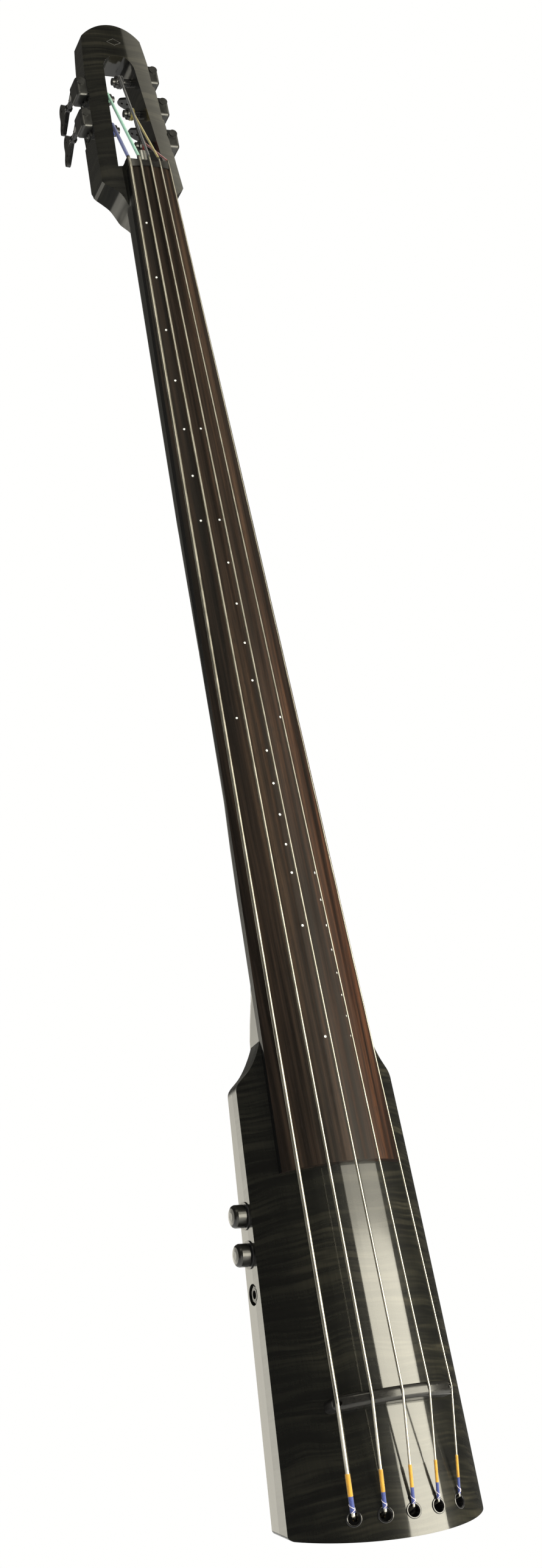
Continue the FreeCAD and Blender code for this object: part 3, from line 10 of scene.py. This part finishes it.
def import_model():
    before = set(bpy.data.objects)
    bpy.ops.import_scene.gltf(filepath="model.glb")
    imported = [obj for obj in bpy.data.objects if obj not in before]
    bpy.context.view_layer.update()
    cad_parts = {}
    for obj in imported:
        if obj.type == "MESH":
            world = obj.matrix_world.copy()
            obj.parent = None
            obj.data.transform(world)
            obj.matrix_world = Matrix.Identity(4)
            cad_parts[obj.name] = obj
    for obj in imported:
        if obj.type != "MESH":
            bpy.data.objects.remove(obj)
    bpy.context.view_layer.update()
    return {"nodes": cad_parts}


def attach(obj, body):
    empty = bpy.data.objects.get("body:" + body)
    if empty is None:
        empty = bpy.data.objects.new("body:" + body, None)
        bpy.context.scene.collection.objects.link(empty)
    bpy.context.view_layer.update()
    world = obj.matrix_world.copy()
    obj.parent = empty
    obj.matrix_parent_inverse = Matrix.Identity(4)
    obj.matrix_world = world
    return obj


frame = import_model()
NODES = frame["nodes"]
MM = 0.001
STRINGS = 5


# ---------------------------------------------------------------- node trees and objects
class Graph:
    """A shader node tree being filled in."""

    def __init__(self, tree):
        self.tree = tree

    def put(self, value, socket):
        """Sets a socket to a constant, or feeds it from another socket."""
        if isinstance(value, bpy.types.NodeSocket):
            self.tree.links.new(value, socket)
        else:
            socket.default_value = value

    def node(self, kind, inputs=None, **attributes):
        made = self.tree.nodes.new("ShaderNode" + kind)
        for key, value in attributes.items():
            setattr(made, key, value)
        for key, value in (inputs or {}).items():
            self.put(value, made.inputs[key])
        return made

    def maths(self, operation, *values):
        return self.node("Math", dict(enumerate(values)), operation=operation).outputs[0]

    def add(self, first, second):
        return self.maths("ADD", first, second)

    def times(self, first, second):
        return self.maths("MULTIPLY", first, second)

    def between(self, value, low, high, to_low=0.0, to_high=1.0, ease="LINEAR"):
        """Carries low..high over to to_low..to_high, and holds the ends beyond."""
        return self.node("MapRange", {
            "Value": value, "From Min": low, "From Max": high,
            "To Min": to_low, "To Max": to_high}, interpolation_type=ease).outputs[0]

    def mix(self, factor, first, second, blend="MIX"):
        """Colour mix; a colour is a socket or three numbers."""
        made = self.node("Mix", {0: factor}, data_type="RGBA", blend_type=blend)
        for key, value in ((6, first), (7, second)):
            self.put((*value, 1.0) if isinstance(value, tuple) else value, made.inputs[key])
        return made.outputs[2]


class Look(Graph):
    """A procedural material being built round one Principled shader."""

    def __init__(self, name, **shader_values):
        self.material = bpy.data.materials.new(name)
        self.material.use_nodes = True
        super().__init__(self.material.node_tree)
        self.shader = self.tree.nodes["Principled BSDF"]
        self.coordinates = self.tree.nodes.new("ShaderNodeTexCoord")
        for socket, value in shader_values.items():
            self.shader.inputs[socket.replace("_", " ")].default_value = value

    def place(self, scale=(1, 1, 1), shift=(0, 0, 0)):
        """Object coordinates in metres, stretched and shifted."""
        mapping = self.node("Mapping", {
            "Vector": self.coordinates.outputs["Object"], "Scale": scale, "Location": shift})
        return mapping.outputs["Vector"]

    def along(self, axis):
        """One object coordinate in metres."""
        return self.node("SeparateXYZ", {0: self.place()}).outputs[axis]

    def noise(self, vector, scale, detail=4.0, roughness=0.5, distortion=0.0):
        return self.node("TexNoise", {
            "Vector": vector, "Scale": scale, "Detail": detail,
            "Roughness": roughness, "Distortion": distortion}).outputs["Fac"]

    def ramp(self, value, stops):
        """Colour ramp through (position, colour) stops."""
        made = self.node("ValToRGB", {"Fac": value})
        elements = made.color_ramp.elements
        while len(elements) < len(stops):
            elements.new(0.5)
        for element, (position, colour) in zip(elements, stops):
            element.position = position
            element.color = (*colour, 1.0)
        return made.outputs["Color"]

    def colour(self, socket):
        self.put(socket, self.shader.inputs["Base Color"])

    def rough(self, socket):
        self.put(socket, self.shader.inputs["Roughness"])

    def bump(self, height, distance, strength=1.0, coat=False):
        made = self.node("Bump", {"Height": height, "Distance": distance, "Strength": strength})
        self.put(made.outputs["Normal"], self.shader.inputs["Normal"])
        if coat:
            self.put(made.outputs["Normal"], self.shader.inputs["Coat Normal"])


def show(name, data):
    """New object holding the data, linked into the scene."""
    made = bpy.data.objects.new(name, data)
    bpy.context.scene.collection.objects.link(made)
    return made


def add_piece(name, mesh, material):
    """Shows a mesh as a fixed piece of the instrument."""
    mesh.materials.append(material)
    made = show(name, mesh)
    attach(made, "instrument")


# ---------------------------------------------------------------- wood
GRAIN_STRETCH = 0.06              # wood grain is drawn out along Z by this
FLAME_STRETCH = 0.05              # flame bars are drawn out across the grain by this
FLAME_BEND = 0.010                # how far a flame bar wanders up or down
WIDE_FLAME = 190.0                # bars per metre, roughly
FINE_FLAME = 420.0


def wood_grain(look, scale, roughness):
    return look.noise(look.place(scale=(1.0, 1.0, GRAIN_STRETCH)), scale, 6.0, roughness)


def flame_and_painted_light(look):
    """Cross-grain flame: fine, nearly straight bars across the grain, fading in and out, and painted
    stronger and lighter towards the treble side as painted light where the lamps fall.
    """
    bend = look.noise(look.place(scale=(1, 1, 0.6)), 14.0, 2.0)
    push = look.node("CombineXYZ", {"Z": look.between(bend, 0.0, 1.0, -FLAME_BEND, FLAME_BEND)})
    bent = look.node("VectorMath", {0: look.place(), 1: push.outputs[0]}, operation="ADD")
    stretched = look.node("Mapping", {
        "Vector": bent.outputs[0], "Scale": (FLAME_STRETCH, FLAME_STRETCH, 1.0)})
    wide = look.noise(stretched.outputs[0], WIDE_FLAME, 2.0, 0.5)
    fine = look.noise(stretched.outputs[0], FINE_FLAME, 1.0, 0.5)
    both = look.add(look.times(wide, 0.65), look.times(fine, 0.35))
    patches = look.between(look.noise(look.place(), 18.0, 2.0), 0.3, 0.7, 0.45, 0.95)
    # painted light: the flame is painted stronger and lighter towards the treble side, the side the lamps
    # light
    treble = look.between(look.along("X"), -0.05, 0.06, 0.55, 1.0)
    return look.times(look.times(look.between(both, 0.42, 0.62), patches), treble)


def flamed_black_maple():
    """Transparent black gloss over flamed maple."""
    look = Look("flamed_black_maple", Roughness=0.38, Specular_IOR_Level=0.12,
                Coat_Weight=1.0, Coat_Roughness=0.10, Coat_IOR=1.5)
    flame = flame_and_painted_light(look)
    # this base colour carries painted light as well as flame: lighter towards the treble side
    base = look.ramp(flame, [
        (0.0, (0.0025, 0.0026, 0.0020)), (0.25, (0.0065, 0.0065, 0.0046)),
        (0.6, (0.0180, 0.0168, 0.0118)), (1.0, (0.0400, 0.0362, 0.0240))])
    lines = look.between(wood_grain(look, 900.0, 0.65), 0.35, 0.7, 0.75, 1.10)
    look.colour(look.mix(1.0, base, lines, blend="MULTIPLY"))
    look.rough(look.between(flame, 0.0, 1.0, 0.42, 0.30))
    look.bump(look.noise(look.place(), 70.0, 2.0), 0.00004, 0.2, coat=True)
    return look.material


def black_lacquer():
    """Deep black gloss over plain wood, with the grain only just showing."""
    look = Look("black_lacquer", Roughness=0.4, Specular_IOR_Level=0.35,
                Coat_Weight=1.0, Coat_Roughness=0.04, Coat_IOR=1.5)
    look.colour(look.ramp(wood_grain(look, 520.0, 0.6), [
        (0.25, (0.004, 0.004, 0.003)), (0.6, (0.009, 0.009, 0.007)), (0.85, (0.018, 0.016, 0.012))]))
    look.bump(look.noise(look.place(), 60.0, 2.0), 0.00005, 0.25, coat=True)
    return look.material


def rosewood():
    """Oiled dark rosewood with long streaks and pores; the board's sides are lacquered black."""
    look = Look("rosewood", Specular_IOR_Level=0.13)
    streak = look.noise(look.place(scale=(1.0, 1.0, 0.018)), 260.0, 5.0, 0.62, 0.15)
    broad = look.noise(look.place(scale=(1.0, 1.0, 0.03), shift=(0.3, 0, 0)), 60.0, 3.0, 0.5)
    tone = look.add(look.times(streak, 0.6), look.times(broad, 0.4))
    brown = look.ramp(look.between(tone, 0.36, 0.66), [
        (0.0, (0.0035, 0.0028, 0.0022)), (0.35, (0.0085, 0.0058, 0.0042)),
        (0.65, (0.0180, 0.0115, 0.0078)), (1.0, (0.0360, 0.0215, 0.0130))])
    fiery = look.ramp(look.between(tone, 0.38, 0.64), [
        (0.0, (0.0045, 0.0030, 0.0022)), (0.4, (0.0150, 0.0066, 0.0040)),
        (0.7, (0.0340, 0.0130, 0.0068)), (1.0, (0.0680, 0.0250, 0.0105))])
    treble_side = look.between(look.along("X"), -0.01, 0.05)
    lower_board = look.between(look.along("Z"), 0.80, 0.30, 0.15, 1.0)
    wood = look.mix(look.times(treble_side, lower_board), brown, fiery)
    pore = look.between(look.noise(look.place(scale=(1.0, 1.0, 0.05)), 2600.0, 2.0, 0.5), 0.60, 0.68)
    wood = look.mix(pore, wood, (0.012, 0.009, 0.008))
    facing = look.node("SeparateXYZ", {0: look.coordinates.outputs["Normal"]})
    side = look.between(look.maths("ABSOLUTE", facing.outputs["X"]), 0.72, 0.76)
    look.colour(look.mix(side, wood, (0.006, 0.006, 0.006)))
    rough = look.between(streak, 0.3, 0.7, 0.36, 0.50)
    look.rough(look.times(rough, look.between(side, 0.0, 1.0, 1.0, 0.3)))
    look.bump(look.times(pore, -1.0), 0.00004, 0.35)
    return look.material


def ebony(name, roughness):
    """Near-black close-grained wood, polished."""
    look = Look(name, Specular_IOR_Level=0.3, Coat_Weight=0.35, Coat_Roughness=0.16)
    grain = look.noise(look.place(scale=(0.08, 1.0, 1.0)), 1500.0, 5.0, 0.6)
    look.colour(look.ramp(grain, [(0.3, (0.004, 0.004, 0.004)), (0.75, (0.014, 0.013, 0.012))]))
    look.rough(look.between(grain, 0.3, 0.7, roughness, roughness + 0.12))
    look.bump(grain, 0.00001, 0.1)
    return look.material


# ---------------------------------------------------------------- metal
RIBBON_TURNS = 1600.0             # turns of the string's flat ribbon in a metre
SCRATCH = 0.06                    # how much a smudge or a scratch roughens plain metal


def darkened(colour):
    return tuple(0.8 * part for part in colour)


def metal(name, colour, roughness):
    """Plated or polished metal with faint smudges and fine scratches."""
    look = Look(name, Metallic=1.0)
    smudge = look.noise(look.place(), 140.0, 4.0, 0.6)
    fine = look.noise(look.place(scale=(1.0, 0.15, 1.0)), 900.0, 3.0, 0.7)
    look.rough(look.add(look.between(smudge, 0.3, 0.7, roughness, roughness + SCRATCH),
                        look.between(fine, 0.4, 0.8, 0.0, SCRATCH)))
    look.colour(look.mix(look.between(smudge, 0.35, 0.65), darkened(colour), colour))
    look.bump(fine, 0.00002, 0.15)
    return look.material


def black_metal(name, colour, roughness):
    """Satin black plating, a little lighter where it wears."""
    look = Look(name, Metallic=0.35, Specular_IOR_Level=0.6, Coat_Weight=0.35, Coat_Roughness=0.12)
    smudge = look.noise(look.place(), 180.0, 4.0, 0.6)
    worn = tuple(1.9 * part + 0.004 for part in colour)
    look.colour(look.mix(look.between(smudge, 0.35, 0.7), colour, worn))
    look.rough(look.between(smudge, 0.3, 0.7, roughness, roughness + 0.12))
    look.bump(look.noise(look.place(), 2600.0, 2.0), 0.00002, 0.2)
    return look.material


def string_metal():
    """Polished flat ribbon wound closely round the string, with a seam between its turns whose colour is
    darkened as painted shade.
    """
    look = Look("string_steel", Metallic=1.0)
    turns = look.maths("FRACT", look.times(look.along("Z"), RIBBON_TURNS))
    seam = look.between(look.maths("ABSOLUTE", look.maths("SUBTRACT", turns, 0.5)), 0.36, 0.5)
    wear = look.noise(look.place(), 60.0, 3.0)
    plate = look.mix(look.between(wear, 0.35, 0.65), (0.46, 0.44, 0.38), (0.62, 0.60, 0.53))
    # painted shade: the colour is darkened in the seam between the ribbon's turns
    look.colour(look.mix(look.times(seam, 0.4), plate, (0.40, 0.38, 0.33)))
    look.rough(look.between(wear, 0.3, 0.7, 0.32, 0.42))
    look.bump(look.times(seam, -1.0), 0.00001, 0.15)
    return look.material


# ---------------------------------------------------------------- plastic, silk, pearl, circuit board
SILK_RIDGES_ALONG = 1500.0        # silk ridges in a metre along Z
SILK_RIDGES_ACROSS = 900.0        # and along X, which slants them


def plastic(name, colour, roughness, grain=0.0, coat=0.0):
    """Moulded black plastic, finely grained."""
    look = Look(name, Coat_Weight=coat, Coat_Roughness=0.05)
    cloud = look.noise(look.place(), 220.0, 4.0)
    look.colour(look.mix(look.between(cloud, 0.3, 0.7), darkened(colour), colour))
    look.rough(look.between(cloud, 0.3, 0.7, roughness, roughness + 0.08))
    look.bump(look.noise(look.place(), 3500.0, 2.0), 0.00004, 0.15 + grain)
    return look.material


def silk(name, dark, light):
    """Dyed silk thread: soft sheen, with painted highlight where a thread bulges out and painted shade in
    the grooves between turns.
    """
    look = Look(name, Roughness=0.55, Sheen_Weight=0.6, Sheen_Roughness=0.4, Specular_IOR_Level=0.3)
    winding = look.add(look.times(look.along("Z"), SILK_RIDGES_ALONG),
                       look.times(look.along("X"), SILK_RIDGES_ACROSS))
    ridge = look.maths("PINGPONG", winding, 0.5)
    fibres = look.noise(look.place(), 2400.0, 4.0, 0.7)
    strands = look.add(look.times(ridge, 1.1), look.times(fibres, 0.5))
    patches = look.noise(look.place(), 160.0, 3.0)
    tone = look.add(look.times(strands, 0.7), look.times(patches, 0.3))
    # the colour mixes a painted highlight on the winding's ridges and painted shade in its grooves with
    # the thread's own fibres and patches
    look.colour(look.mix(look.between(tone, 0.35, 0.65), dark, light))
    look.bump(strands, 0.00018, 0.8)
    return look.material


def pearl():
    """Polished shell with swirling pale bands."""
    look = Look("pearl", Roughness=0.22, Coat_Weight=0.6, Coat_Roughness=0.05)
    swirl = look.noise(look.place(), 900.0, 4.0, 0.6, 1.2)
    look.colour(look.ramp(swirl, [
        (0.3, (0.66, 0.64, 0.58)), (0.5, (0.86, 0.85, 0.80)), (0.7, (0.76, 0.79, 0.80))]))
    return look.material


def circuit_board_look():
    """Green board with paler blocks of copper under the mask."""
    look = Look("circuit_green", Roughness=0.3, Coat_Weight=0.4)
    tracks = look.node("TexVoronoi", {"Vector": look.place(), "Scale": 420.0}, distance="MANHATTAN")
    edge = look.between(tracks.outputs["Distance"], 0.28, 0.32)
    look.colour(look.mix(edge, (0.010, 0.110, 0.040), (0.020, 0.190, 0.070)))
    return look.material


# ---------------------------------------------------------------- dark lines round the pearl dots
BOARD_ARCH = 0.075                # about the radius of the arched board
DOT_REACH = 4.5 * MM              # corners closer than this belong to one dot
DOT_FRONT = 1.1 * MM              # depth of a dot's front rim
RING_INNER = 0.9 * MM
RING_OUTER = 1.42 * MM
RING_LIFT = 0.03 * MM             # how far a ring stands proud of its dot
RING_STEPS = 20


def corners_by_dot():
    groups = []
    for vertex in NODES["position_dots"].data.vertices:
        near = [group for group in groups if (group[0] - vertex.co).length < DOT_REACH]
        if near:
            near[0].append(vertex.co)
        else:
            groups.append([vertex.co])
    return groups


def ring_points(dot):
    """Inner and outer point at each step round one dot, facing out of the arched board."""
    front = min(corner.y for corner in dot)
    rim = [corner for corner in dot if corner.y < front + DOT_FRONT]
    centre = sum(rim, Vector()) / len(rim)
    axis = Vector((centre.x, -BOARD_ARCH, 0.0)).normalized()
    reach = max((corner - centre).dot(axis) for corner in dot)
    up = Vector((0, 0, 1))
    across = axis.cross(up)
    points = []
    for step in range(RING_STEPS):
        angle = 2 * math.pi * step / RING_STEPS
        spoke = math.cos(angle) * across + math.sin(angle) * up
        for radius in (RING_INNER, RING_OUTER):
            points.append(centre + (reach + RING_LIFT) * axis + radius * spoke)
    return points


def dot_rings():
    """Thin dark line round each pearl dot, lying just proud of the board."""
    vertices = []
    faces = []
    for dot in corners_by_dot():
        start = len(vertices)
        vertices.extend(ring_points(dot))
        for step in range(RING_STEPS):
            a = start + 2 * step
            b = start + 2 * ((step + 1) % RING_STEPS)
            faces.append((a, a + 1, b + 1, b))
    mesh = bpy.data.meshes.new("dot_rings")
    mesh.from_pydata(vertices, [], faces)
    add_piece("dot_rings", mesh, ebony("ring_black", 0.4))


# ---------------------------------------------------------------- silk threads at the tail
STRING_RADII = [1.45 * MM, 1.15 * MM, 0.95 * MM, 0.78 * MM, 0.65 * MM]      # bass side first
WINDING_GAP = 0.30 * MM          # from a string's surface to the middle of a thread on its sleeve
SLEEVE_END = 1.5 * MM             # length of sleeve that is averaged to find the middle of its end
THREAD_RADIUS = 0.22 * MM
THREAD_SIDES = 6
THREAD_STEPS_PER_TURN = 14
GOLD_PITCH = 0.85 * MM
BLUE_PITCH = 0.95 * MM
CROSSING_START = 0.45             # the pale threads start this far down the blue sleeve
CROSSING_TURNS = 0.8
CROSSING_LIFT = 0.25 * MM


def sleeve_ends(node, index):
    """Upper and lower end of one sleeve; a node's five sleeves lie each in its fifth of the width."""
    corners = [vertex.co for vertex in NODES[node].data.vertices]
    left = min(corner.x for corner in corners)
    share = (max(corner.x for corner in corners) - left) / STRINGS
    middle_x = left + (index + 0.5) * share
    mine = [corner for corner in corners if abs(corner.x - middle_x) <= 0.5 * share + 0.01 * MM]
    top = max(corner.z for corner in mine)
    bottom = min(corner.z for corner in mine)
    upper = [corner for corner in mine if corner.z > top - SLEEVE_END]
    lower = [corner for corner in mine if corner.z < bottom + SLEEVE_END]
    return sum(upper, Vector()) / len(upper), sum(lower, Vector()) / len(lower)


def tube_mesh(name, path, radius):
    """Closed tube of a small radius along a list of points."""
    vertices = []
    faces = []
    for number, spot in enumerate(path):
        before = path[max(number - 1, 0)]
        after = path[min(number + 1, len(path) - 1)]
        forward = (after - before).normalized()
        if number == 0:
            first = forward.orthogonal()
        first = (first - forward * first.dot(forward)).normalized()
        second = forward.cross(first)
        for side in range(THREAD_SIDES):
            angle = 2 * math.pi * side / THREAD_SIDES
            vertices.append(spot + radius * (math.cos(angle) * first + math.sin(angle) * second))
        if number:
            for side in range(THREAD_SIDES):
                a = (number - 1) * THREAD_SIDES + side
                b = (number - 1) * THREAD_SIDES + (side + 1) % THREAD_SIDES
                faces.append((a, b, b + THREAD_SIDES, a + THREAD_SIDES))
    last = (len(path) - 1) * THREAD_SIDES
    faces.append(tuple(reversed(range(THREAD_SIDES))))
    faces.append(tuple(range(last, last + THREAD_SIDES)))
    mesh = bpy.data.meshes.new(name)
    mesh.from_pydata(vertices, [], faces)
    mesh.polygons.foreach_set("use_smooth", [len(face) == 4 for face in faces])
    return mesh


def helix(start, end, radius, turns, phase=0.0):
    """Points of a helix round the line from start to end."""
    axis = (end - start).normalized()
    across = axis.orthogonal().normalized()
    up = axis.cross(across)
    steps = max(2, round(abs(turns) * THREAD_STEPS_PER_TURN))
    points = []
    for step in range(steps + 1):
        share = step / steps
        angle = phase + 2 * math.pi * turns * share
        points.append(start.lerp(end, share) + radius * (math.cos(angle) * across + math.sin(angle) * up))
    return points


def thread(name, points, material):
    add_piece(name, tube_mesh(name, points, THREAD_RADIUS), material)


def tail_threads(gold, blue):
    """Visible winding on each sleeve, and two pale threads crossing over the blue one."""
    pale = silk("silk_pale", (0.50, 0.42, 0.46), (0.80, 0.74, 0.76))
    for index in range(STRINGS):
        number = index + 1
        sleeve = STRING_RADII[index] + WINDING_GAP
        high, low = sleeve_ends("tail_silk_gold", index)
        turns = (high - low).length / GOLD_PITCH
        thread(f"gold_thread_{number}", helix(high, low, sleeve, turns), gold)
        high, low = sleeve_ends("tail_silk_blue", index)
        turns = (high - low).length / BLUE_PITCH
        thread(f"blue_thread_{number}", helix(high, low, sleeve, turns), blue)
        start = high.lerp(low, CROSSING_START)
        for hand in (-1, 1):
            crossing = helix(start, low, sleeve + CROSSING_LIFT, CROSSING_TURNS * hand, 0.5 * math.pi)
            thread(f"pale_thread_{number}_{hand + 1}", crossing, pale)


# ---------------------------------------------------------------- which node wears what
def dress(material, *names):
    """Gives the material to every CAD node named."""
    for name in names:
        mesh = NODES[name].data
        mesh.materials.clear()
        mesh.materials.append(material)


def numbered(stem):
    return [f"{stem}_{index + 1}" for index in range(STRINGS)]


def dress_wood():
    dress(flamed_black_maple(), "body_top", "headstock")
    dress(black_lacquer(), "body_core", "neck")
    dress(rosewood(), "fingerboard")
    dress(pearl(), "position_dots")
    dot_rings()
    dress(ebony("nut_black", 0.32), "nut")
    dress(ebony("bridge_black", 0.26), "bridge")


def dress_fittings():
    dress(metal("inlay_silver", (0.62, 0.63, 0.62), 0.3), "headstock_inlay")
    dress(metal("steel", (0.42, 0.42, 0.41), 0.34), "truss_rod", "truss_rod_nut", "stand_plate_screws",
          "cavity_cover_screws", "volume_shaft", "tone_shaft")
    dress(metal("sensor_foil", (0.72, 0.55, 0.25), 0.35), "bridge_pickup")
    dress(black_metal("black_steel", (0.018, 0.018, 0.018), 0.25), "bridge_screws", "tuner_screws",
          "control_washers", "control_nuts")
    dress(black_metal("black_eyelet", (0.010, 0.010, 0.011), 0.10), "string_anchors")
    dress(metal("brass", (0.78, 0.57, 0.25), 0.22), "string_ball_ends")
    dress(string_metal(), *numbered("string"))
    dress(black_metal("tuner_black", (0.015, 0.015, 0.014), 0.32), *numbered("tuner_housing"))
    dress(black_metal("key_black", (0.008, 0.008, 0.008), 0.18), *numbered("tuner_key"))
    dress(black_metal("post_black", (0.022, 0.022, 0.022), 0.22), *numbered("tuner_post"))
    dress(plastic("knob_black", (0.007, 0.007, 0.006), 0.26, coat=0.35), "volume_knob", "tone_knob")
    dress(metal("control_case", (0.55, 0.55, 0.52), 0.35), "volume_control", "tone_control")
    dress(black_metal("jack_black", (0.006, 0.006, 0.006), 0.32), "output_jack", "jack_nut")
    dress(circuit_board_look(), "circuit_board")
    dress(plastic("cover_plastic", (0.018, 0.018, 0.018), 0.45, grain=0.3), "cavity_cover")
    dress(metal("plate_aluminium", (0.33, 0.33, 0.34), 0.38), "stand_plate")


def dress_silk():
    gold = silk("silk_gold", (0.30, 0.15, 0.012), (0.66, 0.36, 0.035))
    blue = silk("silk_blue", (0.015, 0.022, 0.11), (0.06, 0.09, 0.32))
    dress(gold, "tail_silk_gold")
    tail_threads(gold, blue)
    dress(blue, "tail_silk_blue", "head_silk_1")
    dress(silk("silk_green", (0.10, 0.28, 0.20), (0.34, 0.58, 0.46)), "head_silk_2")
    dress(silk("silk_black", (0.006, 0.006, 0.007), (0.035, 0.035, 0.038)), "head_silk_3")
    dress(silk("silk_yellow", (0.12, 0.09, 0.015), (0.38, 0.31, 0.08)), "head_silk_4")
    dress(silk("silk_red", (0.08, 0.006, 0.008), (0.26, 0.03, 0.03)), "head_silk_5")


# ---------------------------------------------------------------- studio
CAMERA_PLACE = Vector((-0.72868, -1.589837, -0.167091))
CAMERA_FORWARD = Vector((0.40440, 0.84288, 0.35498))
CAMERA_UP = Vector((0.02627, -0.39868, 0.91671))
CAMERA_LENS = 52.353
CAMERA_SENSOR = 36.0
FLOOR_Z = -0.62
FLOOR_RADIUS = 4.5
FLOOR_STEPS = 96
LAMP_COLOUR = (1.0, 0.95, 0.78)
ROOM_WHITE = (1.0, 1.0, 0.99)
ROOM_MIRRORED = (1.0, 0.96, 0.83)
MIRROR_AMBIENT = 0.08             # what gloss mirrors of the room
DIFFUSE_AMBIENT = 0.9             # what the room gives matt surfaces
GLOW = 2.3                        # the glow that gloss mirrors low behind the bass side
TAIL = (0.0, -0.05, 0.02)         # what the lamps are aimed at
MIDDLE = (0.0, -0.05, 0.4)
UPPER_NECK = (0.0, -0.05, 0.8)


def camera():
    data = bpy.data.cameras.new("camera")
    data.lens = CAMERA_LENS
    data.sensor_fit = "AUTO"
    data.sensor_width = CAMERA_SENSOR
    data.clip_start = 0.05
    data.clip_end = 60.0
    holder = show("camera", data)
    forward = CAMERA_FORWARD.normalized()
    right = forward.cross(CAMERA_UP).normalized()
    up = right.cross(forward)
    turn = Matrix((right, up, -forward)).transposed()
    holder.matrix_world = Matrix.Translation(CAMERA_PLACE) @ turn.to_4x4()
    bpy.context.scene.camera = holder


def softbox(name, place, target, width, height, power):
    data = bpy.data.lights.new(name, "AREA")
    data.shape = "RECTANGLE"
    data.size = width
    data.size_y = height
    data.energy = power
    data.color = LAMP_COLOUR
    lamp = show(name, data)
    lamp.location = place
    lamp.rotation_mode = "QUATERNION"
    lamp.rotation_quaternion = (Vector(target) - Vector(place)).to_track_quat("-Z", "Y")


def floor():
    rim = []
    for step in range(FLOOR_STEPS):
        angle = 2 * math.pi * step / FLOOR_STEPS
        rim.append((FLOOR_RADIUS * math.cos(angle), FLOOR_RADIUS * math.sin(angle), FLOOR_Z))
    mesh = bpy.data.meshes.new("floor")
    mesh.from_pydata(rim, [], [tuple(range(FLOOR_STEPS))])
    look = Look("floor_pale", Roughness=0.7)
    look.colour(look.mix(look.noise(look.place(), 3.0), (0.88, 0.88, 0.87), (0.91, 0.91, 0.90)))
    mesh.materials.append(look.material)
    show("floor", mesh)


def world():
    """White room.  What gloss mirrors is dim, but for a glow low behind the bass side."""
    made = bpy.data.worlds.new("studio")
    made.use_nodes = True
    room = Graph(made.node_tree)
    direction = room.node("TexCoord").outputs["Generated"]
    split = room.node("SeparateXYZ", {0: direction}).outputs
    behind = room.between(split["Y"], 0.45, 1.0, 0.0, GLOW, "SMOOTHSTEP")
    bass_side = room.between(split["X"], 0.30, -0.10, ease="SMOOTHSTEP")
    below = room.between(split["Z"], 0.45, 0.22, ease="SMOOTHSTEP")
    above = room.between(split["Z"], -0.12, 0.04, ease="SMOOTHSTEP")
    corner = room.times(room.times(behind, bass_side), above)
    mirrored = room.maths("MULTIPLY_ADD", corner, below, MIRROR_AMBIENT)
    ray = room.node("LightPath").outputs
    around = room.times(ray["Is Diffuse Ray"], DIFFUSE_AMBIENT)
    indirect = room.maths("MAXIMUM", mirrored, around)
    background = made.node_tree.nodes["Background"]
    room.put(room.maths("MAXIMUM", indirect, ray["Is Camera Ray"]), background.inputs["Strength"])
    room.put(room.mix(ray["Is Glossy Ray"], ROOM_WHITE, ROOM_MIRRORED), background.inputs["Color"])
    bpy.context.scene.world = made


def studio():
    camera()
    floor()
    world()
    softbox("strip_whole", (1.08, -1.38, 0.30), MIDDLE, 1.35, 1.8, 34.0)
    softbox("strip_low", (1.07, -1.37, -0.08), TAIL, 1.35, 0.9, 34.0)
    softbox("top_front", (-0.35, -1.6, 1.9), UPPER_NECK, 0.7, 0.7, 7.0)
    softbox("top_right", (1.5, -0.6, 2.2), UPPER_NECK, 1.2, 1.2, 5.0)
    bpy.context.scene.view_settings.view_transform = "Standard"


dress_wood()
dress_fittings()
dress_silk()
studio()
